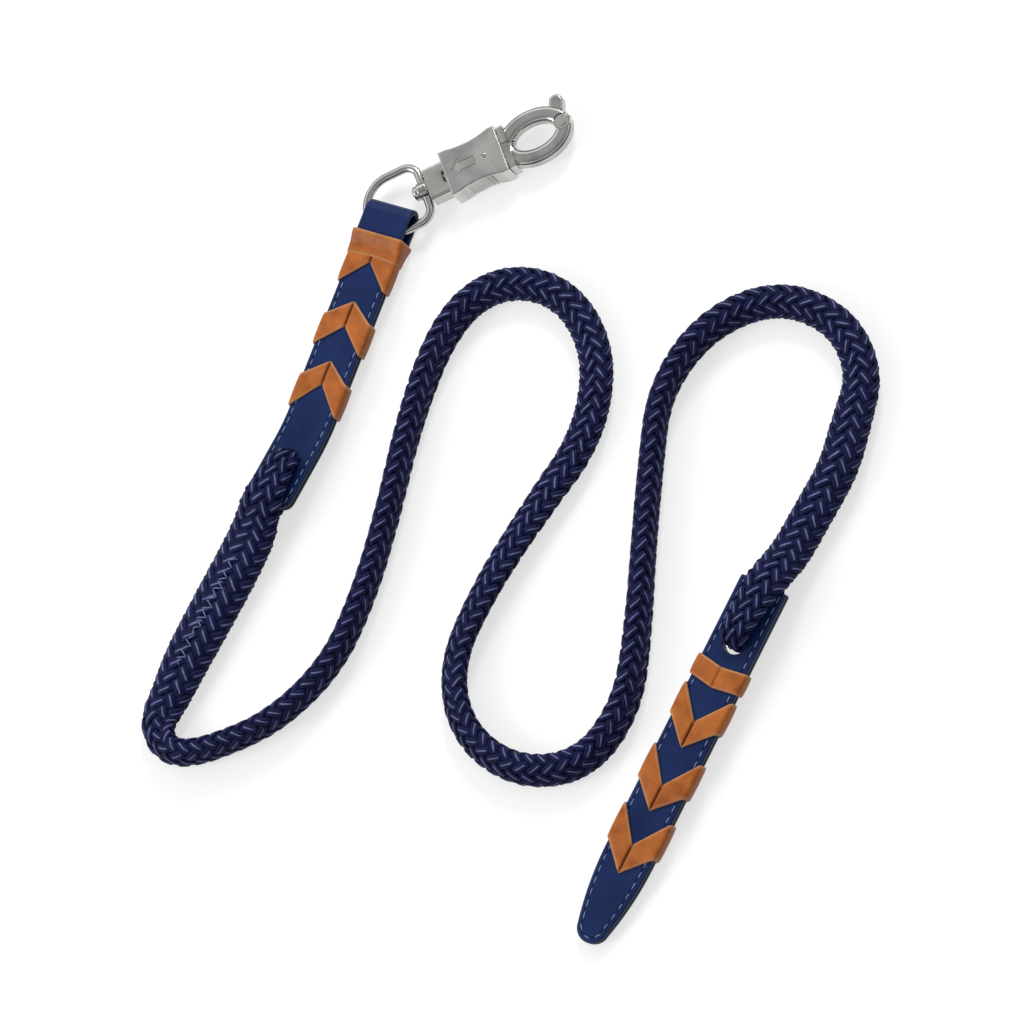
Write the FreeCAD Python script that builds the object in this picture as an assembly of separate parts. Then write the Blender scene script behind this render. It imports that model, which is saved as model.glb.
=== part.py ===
import FreeCAD, Part

import math
import os

from FreeCAD import Placement, Rotation, Vector

# Braided lead rope with two laced leather tabs and a swivelling quick-release snap.
# Millimetres. The part lies on the plane z = 0, seen from above.

# ---- rope
rope_d = 15.0              # diameter of the round tube that stands for the flattened braid
arc_share = 0.45           # share of the shorter run that each arc of the route takes up
rope_route = [
    (-182, -77), (-188.5, -88), (-185.5, -100.5), (-173, -107), (-151, -104), (-120, -93),
    (-90, -67), (-73, -31), (-61, 9), (-51, 51), (-37, 92), (-20, 116),
    (2, 125), (26, 119), (43, 101), (51, 73), (43, 37), (17, 4),
    (-10, -35), (-28, -73), (-21, -108), (7, -130), (42, -129), (65, -101),
    (71, -61), (74, -21), (78, 21), (83, 59), (107, 90), (143, 102),
    (175, 87), (188.4, 58), (180, 30),
]
tail_splice_route = [(180, 30), (174, 10)]

# ---- rope eyes and splices
leg_w = 12.0               # width of the flattened rope where it passes through a tab
leg_t = 8.0                # thickness of the flattened rope there
hole_clear = 0.7           # leather hole to rope, each side
leg_clear = 0.6            # rope leg above the leather
leg_part = 0.1             # between the two legs where they leave the splice
knee_x = 22.0              # the upper leg comes down to the splice from here on
knee_r = 26.0
hole_shift = 0.1           # centres the turn of the rope in the leather's hole
leather_lift = 0.2         # the leather over the lower leg, besides leg_clear
tip_lift = 0.1             # the tail tab's tip over the floor
snap_splice_w = 24.0
snap_splice_h = 16.0
snap_splice_len = 92.0
snap_splice_taper = 30.0
snap_throat = 43.0         # hole centre to the splice
tail_splice_w = 21.0
tail_throat = 50.0
stitch_zig = 6.0           # width of the zigzag that locks the splice
stitch_step = 7.0
stitch_count = 8
stitch_t = 0.9
stitch_first = 12.0
stitch_sink = 0.4          # depth of the shallow band that the zigzag lies in

# ---- leather tabs
tab_w = 26.0
layer_t = 2.95
layer_gap = 0.1            # glue line between the two layers
stitch_inset = 2.6         # stitch row to the edge of the leather
row_w = 0.8
row_depth = 0.5
row_clear = 0.05
tab_corner_r = 6.0         # corners of the snap tab's rope end

# ---- snap tab, measured from its fold
snap_tab_yaw = -111.5
snap_tab_len = 167.5
snap_hole_end = 23.5       # hole centre to the rope end of the tab
snap_hole_x = snap_tab_len - snap_hole_end
snap_hole_len = 13.2
bend_before = 8.0          # the tab curves sideways over bend_len, and then runs straight
bend_len = 20.0
bend_to = snap_hole_x - bend_before
bend_from = bend_to - bend_len
bend_turn = -8.5
eye_wire_r = 2.3           # wire of the swivel eye that the strap folds round
cavity_h = eye_wire_r + 1.2         # half height of the loop that holds the eye
cavity_to = 17.5
cavity_shut = 24.0
swell_to = 27.0            # the outside of the loop is back to two layers here
eye_reach = 0.8            # centre of the eye's curve, past the fold
tilt_x = 11.0              # tilt line of the eye in the loop, from the fold
snap_row_from = 48.0
snap_row_end = 4.5         # stitch row to the rope end of the tab

# ---- tail tab, measured from its rope end
tail_yaw = -119.8
tail_leg_yaw = -121.5      # the rope crosses the tail tab at a slight angle
tail_hole = (122.8, -73.4)
tail_tab_len = 194.0
tail_hole_x = 30.0
tail_hole_len = 13.6
tail_hole_shift = 0.9      # the hole reaches further on its tip side
tip_point = 46.0           # length over which the tip narrows
tip_r = 8.0
tip_bulge = 1.2

# ---- lacing: centre from, centre to, edge from, edge to, from the same ends as the tabs
lace_t = 1.2
lace_clear = 0.15
web_clear = 0.1            # lace to the slit that it passes through
collar = (18.5, 33.0, 18.5, 46.5)
snap_laces = {"a": (54.8, 68.8, 64.6, 81.6), "b": (87.9, 100.9, 98.3, 115.9)}
tail_band = (45.4, 56.5, 43.5, 54.5)
tail_laces = {
    "1": (74.9, 89.2, 59.0, 76.0),
    "2": (109.5, 123.4, 92.4, 110.8),
    "3": (141.8, 157.1, 124.7, 143.9),
}

# ---- snap, measured along its axis from the outer face of the eye's boss
snap_at = (-40.5, 179.6)
snap_yaw = 19.6
axis_z = 7.5
eye_out_w = tab_w + 10.5
eye_out_len = 37.0
eye_corner_r = 7.0
eye_set_back = 0.2
boss_r = 4.8
boss_len = 2 * eye_wire_r + 0.8
boss_round = 0.8
rivet_r = 2.5
rivet_clear = 0.05
rivet_head_r = 4.0
rivet_head_t = 2.8
rivet_dome = 1.6
rivet_end = 8.4
shank_from = 0.6
shank_half_w = 9.0
shank_half_t = 5.3
shank_round = 1.6
sleeve_from = 12.0
sleeve_to = 44.5
slide_clear = 0.1          # sleeve over the shank
bore_half_w = shank_half_w + slide_clear
sleeve_eye_w = bore_half_w + 3.4    # half widths of the sleeve at its eye end, waist and loop end
sleeve_waist_w = bore_half_w + 2.1
sleeve_loop_w = bore_half_w + 4.1
sleeve_half_t = shank_half_t + slide_clear + 2.1
sleeve_lip = 4.0           # straight part of the side at each end of the waist
sleeve_round = 0.9
rib_r = 0.75
rib_count = 8
rib_step = 1.9
rib_out = 0.35             # rib grooves are cut this far outside the waist
rib_top = 1.6              # the ribs stop this far under the sleeve's face
arrow_depth = 0.35
arrow_outline = [
    (16.0, 0), (21.0, 5.2), (21.0, 2.6), (29.5, 2.6), (29.5, -2.6), (21.0, -2.6), (21.0, -5.2),
]
arrow_inside = [
    (17.6, 0), (20.3, 3.0), (20.3, 1.9), (28.8, 1.9), (28.8, -1.9), (20.3, -1.9), (20.3, -3.0),
]
pin_x = sleeve_to - 10.2
pin_r = 1.5
pin_head = 0.4
pin_sunk = 0.2
slot_half_w = 3.3
slot_from = 10.0
slot_clear = 0.5
spring_r = 2.5
spring_wire = 0.4
spring_turns = 9
spring_seat = 0.1
flange_gap = 0.3
flange_t = 3.4
flange_from = sleeve_to + flange_gap
flange_to = flange_from + flange_t
flange_bite = 0.5          # how far the arms and the heel run into the flange
flange_round = 1.2
flange_half_w = bore_half_w + 3.1
flange_half_t = shank_half_t + 0.7
loop_in = (11.45, 6.3)     # half length and half width of the opening
loop_out = (20.85, 15.0)
loop_mid = flange_to + loop_in[0] + 2.0
arm_half_t = 3.9
arm_round = 2.9
split_y = 2.0
split_gap = 0.4
pivot_x = loop_mid + loop_in[0] + 4.7
pivot_r = 1.6
pivot_clear = 0.05
lug_r = 4.2
lug_half_t = 1.8
fork_gap = 0.2             # lug to each ear of the fork
ear_r = 4.3
ear_half_t = 4.1           # the ears stand slightly proud of the arms
ear_round = 0.3            # room round the ears and the lug
ear_chamfer = 0.5
room_wide = 1.5            # the fixed arm's end, cut back round the fork
room_low = 2.4
pin_rim = 0.6
pin_head_r = 2.3
nib_from = (pivot_x - 1.2, 7.5)
nib_to = (pivot_x + 0.5, 12.4)
nib_r = 3.9
nib_half_t = 3.2
nib_round = 1.6
heel_y = (bore_half_w + 0.2, bore_half_w + 2.1)    # the foot's heel, under the sleeve's mouth
heel_half_t = shank_half_t - 0.8
seat_y = bore_half_w + 2.7          # outer side of the sloped seat in the mouth
heel_slope = 70.0
heel_clear = 0.25
heel_depth = 1.04

overshoot = 1.0            # how far a cutting solid reaches past what it cuts
cut_h = 20.0               # half height of a cut straight through a tab
tiny = 1e-6
UP = Vector(0, 0, 1)


def frame_at(x, y, z, yaw, pitch=0.0):
    """Placement whose X axis points along yaw; a positive pitch lifts that end."""
    turn = Rotation(UP, yaw).multiply(Rotation(Vector(0, 1, 0), -pitch))
    return Placement(Vector(x, y, z), turn)


def block(x0, x1, y0, y1, z0, z1):
    return Part.makeBox(x1 - x0, y1 - y0, z1 - z0, Vector(x0, y0, z0))


def plate(points, z0, z1):
    """A polygon in plan, raised from z0 to z1."""
    ring = [Vector(x, y, z0) for x, y in points]
    face = Part.Face(Part.makePolygon(ring + ring[:1]))
    return face.extrude(Vector(0, 0, z1 - z0))


def rod(x, y, r, z0, z1):
    return Part.makeCylinder(r, z1 - z0, Vector(x, y, z0), UP)


def axle(x0, x1, r, y=0.0, z=0.0):
    return Part.makeCylinder(r, x1 - x0, Vector(x0, y, z), Vector(1, 0, 0))


def oval(centre, along, wide, high, sideways):
    """An elliptical wire square to a direction; wide lies along sideways."""
    if wide == high:
        return Part.Wire(Part.Circle(centre, along, wide / 2).toShape())
    if wide > high:
        big, small, first = wide, high, sideways
    else:
        big, small, first = high, wide, along.cross(sideways)
    curve = Part.Ellipse(
        centre + first * (big / 2), centre + along.cross(first) * (small / 2), centre
    )
    return Part.Wire(curve.toShape())


def rounded_path(points, label):
    """Straight runs joined by tangent arcs."""
    edges = []
    start = points[0]
    for i in range(1, len(points) - 1):
        before = points[i - 1] - points[i]
        after = points[i + 1] - points[i]
        turn = math.pi - before.getAngle(after)
        reach = arc_share * min(before.Length, after.Length)
        radius = reach / math.tan(turn / 2)
        before.normalize()
        after.normalize()
        a = points[i] + before * reach
        b = points[i] + after * reach
        inward = (before + after).normalize()
        away = radius / math.cos(turn / 2) - radius
        middle = points[i] + inward * away
        edges.append(Part.LineSegment(start, a).toShape())
        edges.append(Part.Arc(a, middle, b).toShape())
        start = b
        print(label, "radius at point", i, round(radius, 1))
    edges.append(Part.LineSegment(start, points[-1]).toShape())
    return Part.Wire(edges)


def tube(path, first_run, wide, high, flat):
    """Sweep an ellipse along a path; flat is the direction that stays square to it."""
    sideways = flat.cross(first_run)
    profile = oval(path.Vertexes[0].Point, first_run, wide, high, sideways)
    shell = Part.BRepOffsetAPI.MakePipeShell(path)
    shell.setBiNormalMode(flat)
    shell.add(profile)
    shell.build()
    shell.makeSolid()
    return shell.shape()


def save(name, *solids):
    shape = solids[0] if len(solids) == 1 else Part.makeCompound(list(solids))
    shape.exportStep("parts/" + name + ".step")
    print(name, len(shape.Solids), round(shape.Volume, 1))


def placed(shape, place):
    moved = shape.copy()
    moved.Placement = place.multiply(moved.Placement)
    return moved


# ---------------------------------------------------------------- tabs and lacing

def chevron_plan(lace, half_w):
    """Plan outline of a V-shaped strip across the tab."""
    centre_from, centre_to, edge_from, edge_to = lace
    return [
        (edge_from, -half_w), (centre_from, 0), (edge_from, half_w),
        (edge_to, half_w), (centre_to, 0), (edge_to, -half_w),
    ]


def lace_band(shell, inner_half_h, lace):
    """A lace round the tab: V in front and behind, joined through a slit in the leather."""
    reach = tab_w / 2 + lace_clear + lace_t
    band = shell.common(plate(chevron_plan(lace, reach), -cut_h, cut_h))
    web = block(
        lace[0] + lace_t, lace[1] - lace_t, -lace_t / 2, lace_t / 2,
        -inner_half_h - lace_clear - lace_t / 2, inner_half_h + lace_clear + lace_t / 2,
    )
    return band.fuse(web).removeSplitter()


def lace_slit(lace):
    half = lace_t / 2 + web_clear
    return block(
        lace[0] + lace_t - web_clear, lace[1] - lace_t + web_clear, -half, half, -cut_h, cut_h
    )


def slot_hole(x, length, width):
    """A hole with straight sides and round ends, along the tab."""
    r = width / 2
    straight = max(length - width, 0.0) / 2
    if straight == 0.0:
        return rod(x, 0, r, -cut_h, cut_h)
    ends = [rod(x + side * straight, 0, r, -cut_h, cut_h) for side in (-1, 1)]
    return block(x - straight, x + straight, -r, r, -cut_h, cut_h).fuse(ends)


tab_half_h = layer_t + layer_gap / 2
fold_r = cavity_h + layer_t
hole_w = leg_w + 2 * hole_clear


def loop_profile(grow, end):
    """Side outline of the folded strap, grown outwards, as a face in the XZ plane."""
    r = fold_r + grow
    flat = tab_half_h + grow
    points = [
        Vector(fold_r, 0, r), Vector(cavity_to, 0, r), Vector(swell_to, 0, flat),
        Vector(end, 0, flat), Vector(end, 0, -flat), Vector(swell_to, 0, -flat),
        Vector(cavity_to, 0, -r), Vector(fold_r, 0, -r),
    ]
    edges = [Part.LineSegment(a, b).toShape() for a, b in zip(points, points[1:])]
    edges.append(Part.Arc(points[-1], Vector(fold_r - r, 0, 0), points[0]).toShape())
    return Part.Face(Part.Wire(edges))


def across(face, half_w):
    """Extrude an XZ face to both sides."""
    moved = face.copy()
    moved.translate(Vector(0, -half_w, 0))
    return moved.extrude(Vector(0, 2 * half_w, 0))


def loop_cavity():
    """Teardrop space in the folded strap, running into the glue line."""
    slit = layer_gap / 2
    far = snap_tab_len + overshoot
    points = [
        Vector(fold_r, 0, cavity_h), Vector(cavity_to, 0, cavity_h),
        Vector(cavity_shut, 0, slit), Vector(far, 0, slit), Vector(far, 0, -slit),
        Vector(cavity_shut, 0, -slit), Vector(cavity_to, 0, -cavity_h),
        Vector(fold_r, 0, -cavity_h),
    ]
    edges = [Part.LineSegment(a, b).toShape() for a, b in zip(points, points[1:])]
    edges.append(Part.Arc(points[-1], Vector(layer_t, 0, 0), points[0]).toShape())
    return Part.Face(Part.Wire(edges))


bend_side = -1 if bend_turn < 0 else 1
bend_r = bend_len / math.radians(abs(bend_turn))


def bend_place():
    """Where the straight rope end of the snap tab starts, past the sideways curve."""
    half = math.radians(bend_turn) / 2
    chord = 2 * bend_r * math.sin(abs(half))
    x = bend_from + chord * math.cos(half)
    y = chord * math.sin(half)
    return Placement(Vector(x, y, 0), Rotation(UP, bend_turn))


def bend_sector(inner, outer, z0, z1):
    """Part of a ring, which the tab follows round its sideways curve."""
    middle = Vector(bend_from, bend_side * bend_r, z0)
    big = Part.makeCylinder(outer, z1 - z0, middle, UP, abs(bend_turn))
    small = Part.makeCylinder(inner, z1 - z0, middle, UP, abs(bend_turn))
    ring = big.cut(small)
    first = 90.0 + bend_turn if bend_side < 0 else -90.0
    ring.rotate(middle, UP, first)
    return ring


def snap_tab():
    half = tab_w / 2
    end = snap_tab_len - bend_to
    front = across(loop_profile(0, bend_from), half)
    near = block(0, end, -half, half, -tab_half_h, tab_half_h)
    near = near.makeFillet(tab_corner_r, [e for e in near.Edges if is_upright(e, end)])
    rear = placed(near, bend_place())
    turned = bend_sector(bend_r - half, bend_r + half, -tab_half_h, tab_half_h)
    strap = front.fuse([turned, rear]).removeSplitter()
    strap = strap.cut(across(loop_cavity(), 2 * tab_w))
    for lace in [collar] + list(snap_laces.values()):
        strap = strap.cut(lace_slit(lace))
    hole = slot_hole(snap_hole_x - bend_to, snap_hole_len, hole_w)
    strap = strap.cut(placed(hole, bend_place()))
    for groove in snap_rows(row_w + 2 * row_clear, row_depth, overshoot):
        strap = strap.cut(groove)
    return strap


def is_upright(edge, x):
    a, b = (v.Point for v in edge.Vertexes)
    return abs(a.x - b.x) < tiny and abs(a.y - b.y) < tiny and abs(a.x - x) < tiny


def snap_rows(width, depth, above):
    """Both stitch rows of the snap tab, or the grooves that they lie in."""
    z0 = tab_half_h - depth
    z1 = tab_half_h + above
    rows = []
    for side in (-1, 1):
        y = side * (tab_w / 2 - stitch_inset)
        grow = (width - row_w) / 2
        row = block(snap_row_from - grow, bend_from, y - width / 2, y + width / 2, z0, z1)
        bent_r = bend_r - bend_side * y
        bent = bend_sector(bent_r - width / 2, bent_r + width / 2, z0, z1)
        rear_len = snap_tab_len - snap_row_end - bend_to + grow
        rear = block(0, rear_len, y - width / 2, y + width / 2, z0, z1)
        rows.append(row.fuse([bent, placed(rear, bend_place())]).removeSplitter())
    return rows


def tip_plan(inset):
    """Plan outline of the tail tab, drawn in by an inset; its tip is a narrowing curve."""
    half = tab_w / 2 - inset
    r = tip_r - inset
    far = tail_tab_len - inset
    shoulder = tail_tab_len - tip_point
    centre = far - r
    lift = math.asin((half - r) / (centre - shoulder))
    tangent = Vector(centre + r * math.sin(lift), r * math.cos(lift), 0)
    start = inset if inset else 0.0
    points = [
        Vector(start, half, 0), Vector(shoulder, half, 0),
        tangent, Vector(tangent.x, -tangent.y, 0),
        Vector(shoulder, -half, 0), Vector(start, -half, 0),
    ]
    cheek = Vector((shoulder + tangent.x) / 2, (half + tangent.y) / 2 + tip_bulge, 0)
    edges = [
        Part.LineSegment(points[0], points[1]).toShape(),
        Part.Arc(points[1], cheek, points[2]).toShape(),
        Part.Arc(points[2], Vector(far, 0, 0), points[3]).toShape(),
        Part.Arc(points[3], Vector(cheek.x, -cheek.y, 0), points[4]).toShape(),
        Part.LineSegment(points[4], points[5]).toShape(),
        Part.LineSegment(points[5], points[0]).toShape(),
    ]
    return Part.Face(Part.Wire(edges))


def tail_layer(z0, z1):
    layer = tip_plan(0)
    layer.translate(Vector(0, 0, z0))
    layer = layer.extrude(Vector(0, 0, z1 - z0))
    for lace in [tail_band] + list(tail_laces.values()):
        layer = layer.cut(lace_slit(lace))
    hole = slot_hole(tail_hole_x + tail_hole_shift, tail_hole_len, hole_w)
    return layer.cut(hole)


def tail_row(width, depth, above):
    """The U-shaped stitch row that follows the tip of the tail tab."""
    outer = tip_plan(stitch_inset - width / 2)
    inner = tip_plan(stitch_inset + width / 2)
    z0 = tab_half_h - depth
    outer.translate(Vector(0, 0, z0))
    inner.translate(Vector(0, 0, z0))
    height = Vector(0, 0, depth + above)
    ring = outer.extrude(height).cut(inner.extrude(height))
    start = stitch_inset + (row_clear if width == row_w else 0.0)
    return ring.cut(block(-tab_w, start + row_w, -tab_w, tab_w, -cut_h, cut_h))


def tail_shell():
    """Space round the tail tab that its lacing fills."""
    outer = tab_w / 2 + lace_clear + lace_t
    inner = tab_w / 2 + lace_clear
    high = tab_half_h + lace_clear + lace_t
    low = tab_half_h + lace_clear
    skin = block(0, tail_tab_len, -outer, outer, -high, high)
    skin = skin.makeFillet(lace_t, [e for e in skin.Edges if runs_along_x(e)])
    return skin.cut(block(-tab_w, tail_tab_len + tab_w, -inner, inner, -low, low))


def runs_along_x(edge):
    a, b = (v.Point for v in edge.Vertexes)
    return abs(a.y - b.y) < tiny and abs(a.z - b.z) < tiny


def snap_shell():
    """Space round the snap tab that its lacing fills."""
    outer = across(loop_profile(lace_clear + lace_t, bend_to), tab_w / 2 + lace_clear + lace_t)
    inner = across(loop_profile(lace_clear, bend_to + overshoot), tab_w / 2 + lace_clear)
    return outer.cut(inner)


# ---------------------------------------------------------------- rope eyes and splices

def rope_eye(leather_top, throat):
    """The rope's end, up through a hole: it runs back above and below the leather.

    X points from the splice to the hole, with its zero at the hole's centre.
    """
    low = leg_t / 2
    high = leather_top + leg_clear + leg_t / 2
    r = (high - low) / 2
    mid = (high + low) / 2
    x_hole = (r - math.sqrt(r * r - tab_half_h * tab_half_h)) / 2 + hole_shift
    start = Vector(-throat, 0, low + leg_t + leg_part)
    knee = Vector(knee_x - throat, 0, high)
    straight = Vector(x_hole - r, 0, high)
    ramp = knee - start
    turn = ramp.getAngle(straight - knee)
    ramp.normalize()
    reach = knee_r * math.tan(turn / 2)
    a = knee - ramp * reach
    b = knee + Vector(reach, 0, 0)
    inward = Vector(math.sin(turn / 2), 0, -math.cos(turn / 2))
    middle = knee + inward * (knee_r / math.cos(turn / 2) - knee_r)
    edges = [
        Part.LineSegment(start, a).toShape(),
        Part.Arc(a, middle, b).toShape(),
        Part.LineSegment(b, straight).toShape(),
        Part.Arc(straight, Vector(x_hole, 0, mid), Vector(x_hole - r, 0, low)).toShape(),
        Part.LineSegment(Vector(x_hole - r, 0, low), Vector(-throat, 0, low)).toShape(),
    ]
    loop = tube(Part.Wire(edges), ramp, leg_t, leg_w, Vector(0, 1, 0))
    return loop.common(block(-throat, leg_w, -leg_w, leg_w, -leg_t, high + leg_t))


def snap_splice():
    """Doubled rope beside the snap tab, tapering down to the single rope."""
    along = Vector(1, 0, 0)
    side = Vector(0, 1, 0)
    thick = snap_splice_len - snap_splice_taper
    z = snap_splice_h / 2
    wide = [oval(Vector(x, 0, z), along, snap_splice_w, snap_splice_h, side) for x in (0, thick)]
    thin = oval(Vector(snap_splice_len, 0, rope_d / 2), along, rope_d, rope_d, side)
    body = Part.makeLoft(wide, True, True).fuse(Part.makeLoft([wide[1], thin], True, True))
    groove = splice_groove_z()
    half = stitch_zig / 2 + stitch_t
    far = stitch_first + stitch_count * stitch_step + stitch_t
    band = block(stitch_first - stitch_t, far, -half, half, groove, 2 * snap_splice_h)
    return body.removeSplitter().cut(band)


def splice_groove_z():
    """Height at which the splice is as wide as the zigzag."""
    half = stitch_zig / 2 + stitch_t
    rise = math.sqrt(1 - (2 * half / snap_splice_w) ** 2)
    return snap_splice_h / 2 * (1 + rise) - stitch_sink


def splice_stitches():
    """Zigzag of locking stitches, each a short bar lying in the splice's shallow band."""
    bars = []
    z = splice_groove_z() + row_clear
    turn = math.degrees(math.atan2(stitch_zig, stitch_step))
    length = math.hypot(stitch_zig, stitch_step) - 2 * stitch_t
    for i in range(stitch_count):
        side = 1 if i % 2 else -1
        bar = block(-length / 2, length / 2, -stitch_t / 2, stitch_t / 2, 0, stitch_t)
        middle = Vector(stitch_first + (i + 0.5) * stitch_step, 0, z)
        bar.Placement = Placement(middle, Rotation(UP, side * turn))
        bars.append(bar)
    return bars


# ---------------------------------------------------------------- snap

def swivel_eye():
    """D-shaped eye of round wire, with a boss that the swivel rivet turns in."""
    near = -eye_wire_r - eye_set_back
    side = eye_out_w / 2 - eye_wire_r
    far = -(eye_out_len - eye_wire_r)
    mid = far + side
    c = eye_corner_r
    dip = c * (1 - math.sqrt(0.5))
    bow = side * math.sqrt(0.5)
    edges = [
        Part.LineSegment(Vector(near, 0, 0), Vector(near, side - c, 0)).toShape(),
        Part.Arc(
            Vector(near, side - c, 0), Vector(near - dip, side - dip, 0),
            Vector(near - c, side, 0),
        ).toShape(),
        Part.LineSegment(Vector(near - c, side, 0), Vector(mid, side, 0)).toShape(),
        Part.Arc(
            Vector(mid, side, 0), Vector(mid - bow, bow, 0), Vector(far, 0, 0)
        ).toShape(),
    ]
    path = Part.Wire(edges)
    half = tube(path, Vector(0, 1, 0), 2 * eye_wire_r, 2 * eye_wire_r, UP)
    other = half.mirror(Vector(0, 0, 0), Vector(0, 1, 0))
    boss = axle(-boss_len, 0, boss_r)
    boss = boss.makeFillet(boss_round, boss.Edges)
    eye = half.fuse([other, boss]).removeSplitter()
    return eye.cut(axle(-boss_len - overshoot, overshoot, rivet_r + rivet_clear))


def swivel_rivet():
    """Rivet pressed into the shank, with its domed head inside the eye."""
    seat = -boss_len - rivet_clear
    head = axle(seat - rivet_head_t, seat, rivet_head_r)
    domed = [e for e in head.Edges if abs(e.CenterOfMass.x - (seat - rivet_head_t)) < tiny]
    head = head.makeFillet(rivet_dome, domed)
    return axle(seat, rivet_end, rivet_r).fuse(head).removeSplitter()


def flat_ring(half_l, half_w, half_t):
    """A filled ellipse in plan, about the middle of the loop."""
    curve = Part.Ellipse(Vector(loop_mid, 0, -half_t), half_l, half_w)
    return Part.Face(Part.Wire(curve.toShape())).extrude(Vector(0, 0, 2 * half_t))


def loop_ring():
    """The whole loop with rounded arms, before it is split into its two arms."""
    ring = flat_ring(loop_out[0], loop_out[1], arm_half_t)
    ring = ring.cut(flat_ring(loop_in[0], loop_in[1], arm_half_t + overshoot))
    rims = [e for e in ring.Edges if is_level(e)]
    return ring.makeFillet(arm_round, rims)


def is_level(edge):
    return edge.BoundBox.ZLength < tiny


def snap_body():
    """Shank, fixed arm of the loop and the fork at its tip, in one casting."""
    shank = block(
        shank_from, flange_from, -shank_half_w, shank_half_w, -shank_half_t, shank_half_t
    )
    shank = shank.makeFillet(shank_round, [e for e in shank.Edges if runs_along_x(e)])
    flange = block(
        flange_from, flange_to, -flange_half_w, split_y, -flange_half_t, flange_half_t
    )
    outer = [e for e in flange.Edges if runs_along_x(e) and e.CenterOfMass.y < 0]
    flange = flange.makeFillet(flange_round, outer)
    half = 2 * loop_out[1]
    root = flange_to - flange_bite
    arm = loop_ring().common(block(root, 2 * loop_mid, -half, split_y, -half, half))
    room = block(pivot_x - ear_r - room_wide, 2 * loop_mid, -room_low, half, -half, half)
    arm = arm.cut(room)
    ears = rod(pivot_x, 0, ear_r, -ear_half_t, ear_half_t)
    ears = ears.makeChamfer(ear_chamfer, ears.Edges)
    casting = shank.fuse([flange, arm, ears])
    slot_t = lug_half_t + fork_gap
    casting = casting.cut(rod(pivot_x, 0, lug_r + ear_round, -slot_t, slot_t))
    casting = casting.cut(
        block(pivot_x - ear_r, pivot_x + ear_r, 0, half, -slot_t, slot_t)
    )
    casting = casting.cut(rod(pivot_x, 0, pivot_r, -half, half))
    casting = casting.cut(axle(shank_from - overshoot, rivet_end + rivet_clear, rivet_r))
    slot = block(
        slot_from, pin_x + pin_r + slot_clear, -slot_half_w, slot_half_w, -half, half
    )
    return casting.cut(slot)


def release_arm():
    """Arm that swings open at the tip; its foot is held by the mouth of the sleeve."""
    low = split_y + split_gap
    far = 2 * loop_out[1]
    arm = loop_ring().common(block(flange_to - flange_bite, 2 * loop_mid, low, far, -far, far))
    foot = block(flange_from, flange_to, low, flange_half_w, -flange_half_t, flange_half_t)
    outer = [e for e in foot.Edges if runs_along_x(e) and e.CenterOfMass.y > shank_half_w]
    foot = foot.makeFillet(flange_round, outer)
    inside = flange_from + flange_bite
    heel = plate(
        [(heel_tip(heel_y[0]) + heel_clear, heel_y[0]), (heel_tip(heel_y[1]) + heel_clear, heel_y[1]),
         (inside, heel_y[1]), (inside, heel_y[0])],
        -heel_half_t, heel_half_t,
    )
    a = Vector(nib_from[0], nib_from[1], 0)
    b = Vector(nib_to[0], nib_to[1], 0)
    aside = (b - a).cross(UP).normalize() * nib_r
    corners = [a + aside, b + aside, b - aside, a - aside]
    nib = plate([(p.x, p.y) for p in corners], -nib_half_t, nib_half_t)
    nib = nib.fuse(rod(b.x, b.y, nib_r, -nib_half_t, nib_half_t)).removeSplitter()
    nib = nib.makeFillet(nib_round, [e for e in nib.Edges if is_level(e)])
    body = arm.fuse([foot, heel, nib]).removeSplitter()
    for z0, z1 in ((-far, -lug_half_t), (lug_half_t, far)):
        body = body.cut(rod(pivot_x, 0, ear_r + ear_round, z0, z1))
    lug = rod(pivot_x, 0, lug_r, -lug_half_t, lug_half_t)
    body = body.fuse(lug).removeSplitter()
    return body.cut(rod(pivot_x, 0, pivot_r + pivot_clear, -far, far))


def heel_tip(y):
    """Where the sloped seat in the sleeve's mouth lies, at a given half width."""
    deep = sleeve_to - heel_depth
    return deep + (y - bore_half_w) / math.tan(math.radians(heel_slope))


def hinge_pin():
    pin = rod(pivot_x, 0, pivot_r, -ear_half_t - pin_rim, ear_half_t + pin_rim)
    caps = []
    for z in (-ear_half_t - pin_rim, ear_half_t):
        caps.append(rod(pivot_x, 0, pin_head_r, z, z + pin_rim))
    return pin.fuse(caps).removeSplitter()


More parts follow.
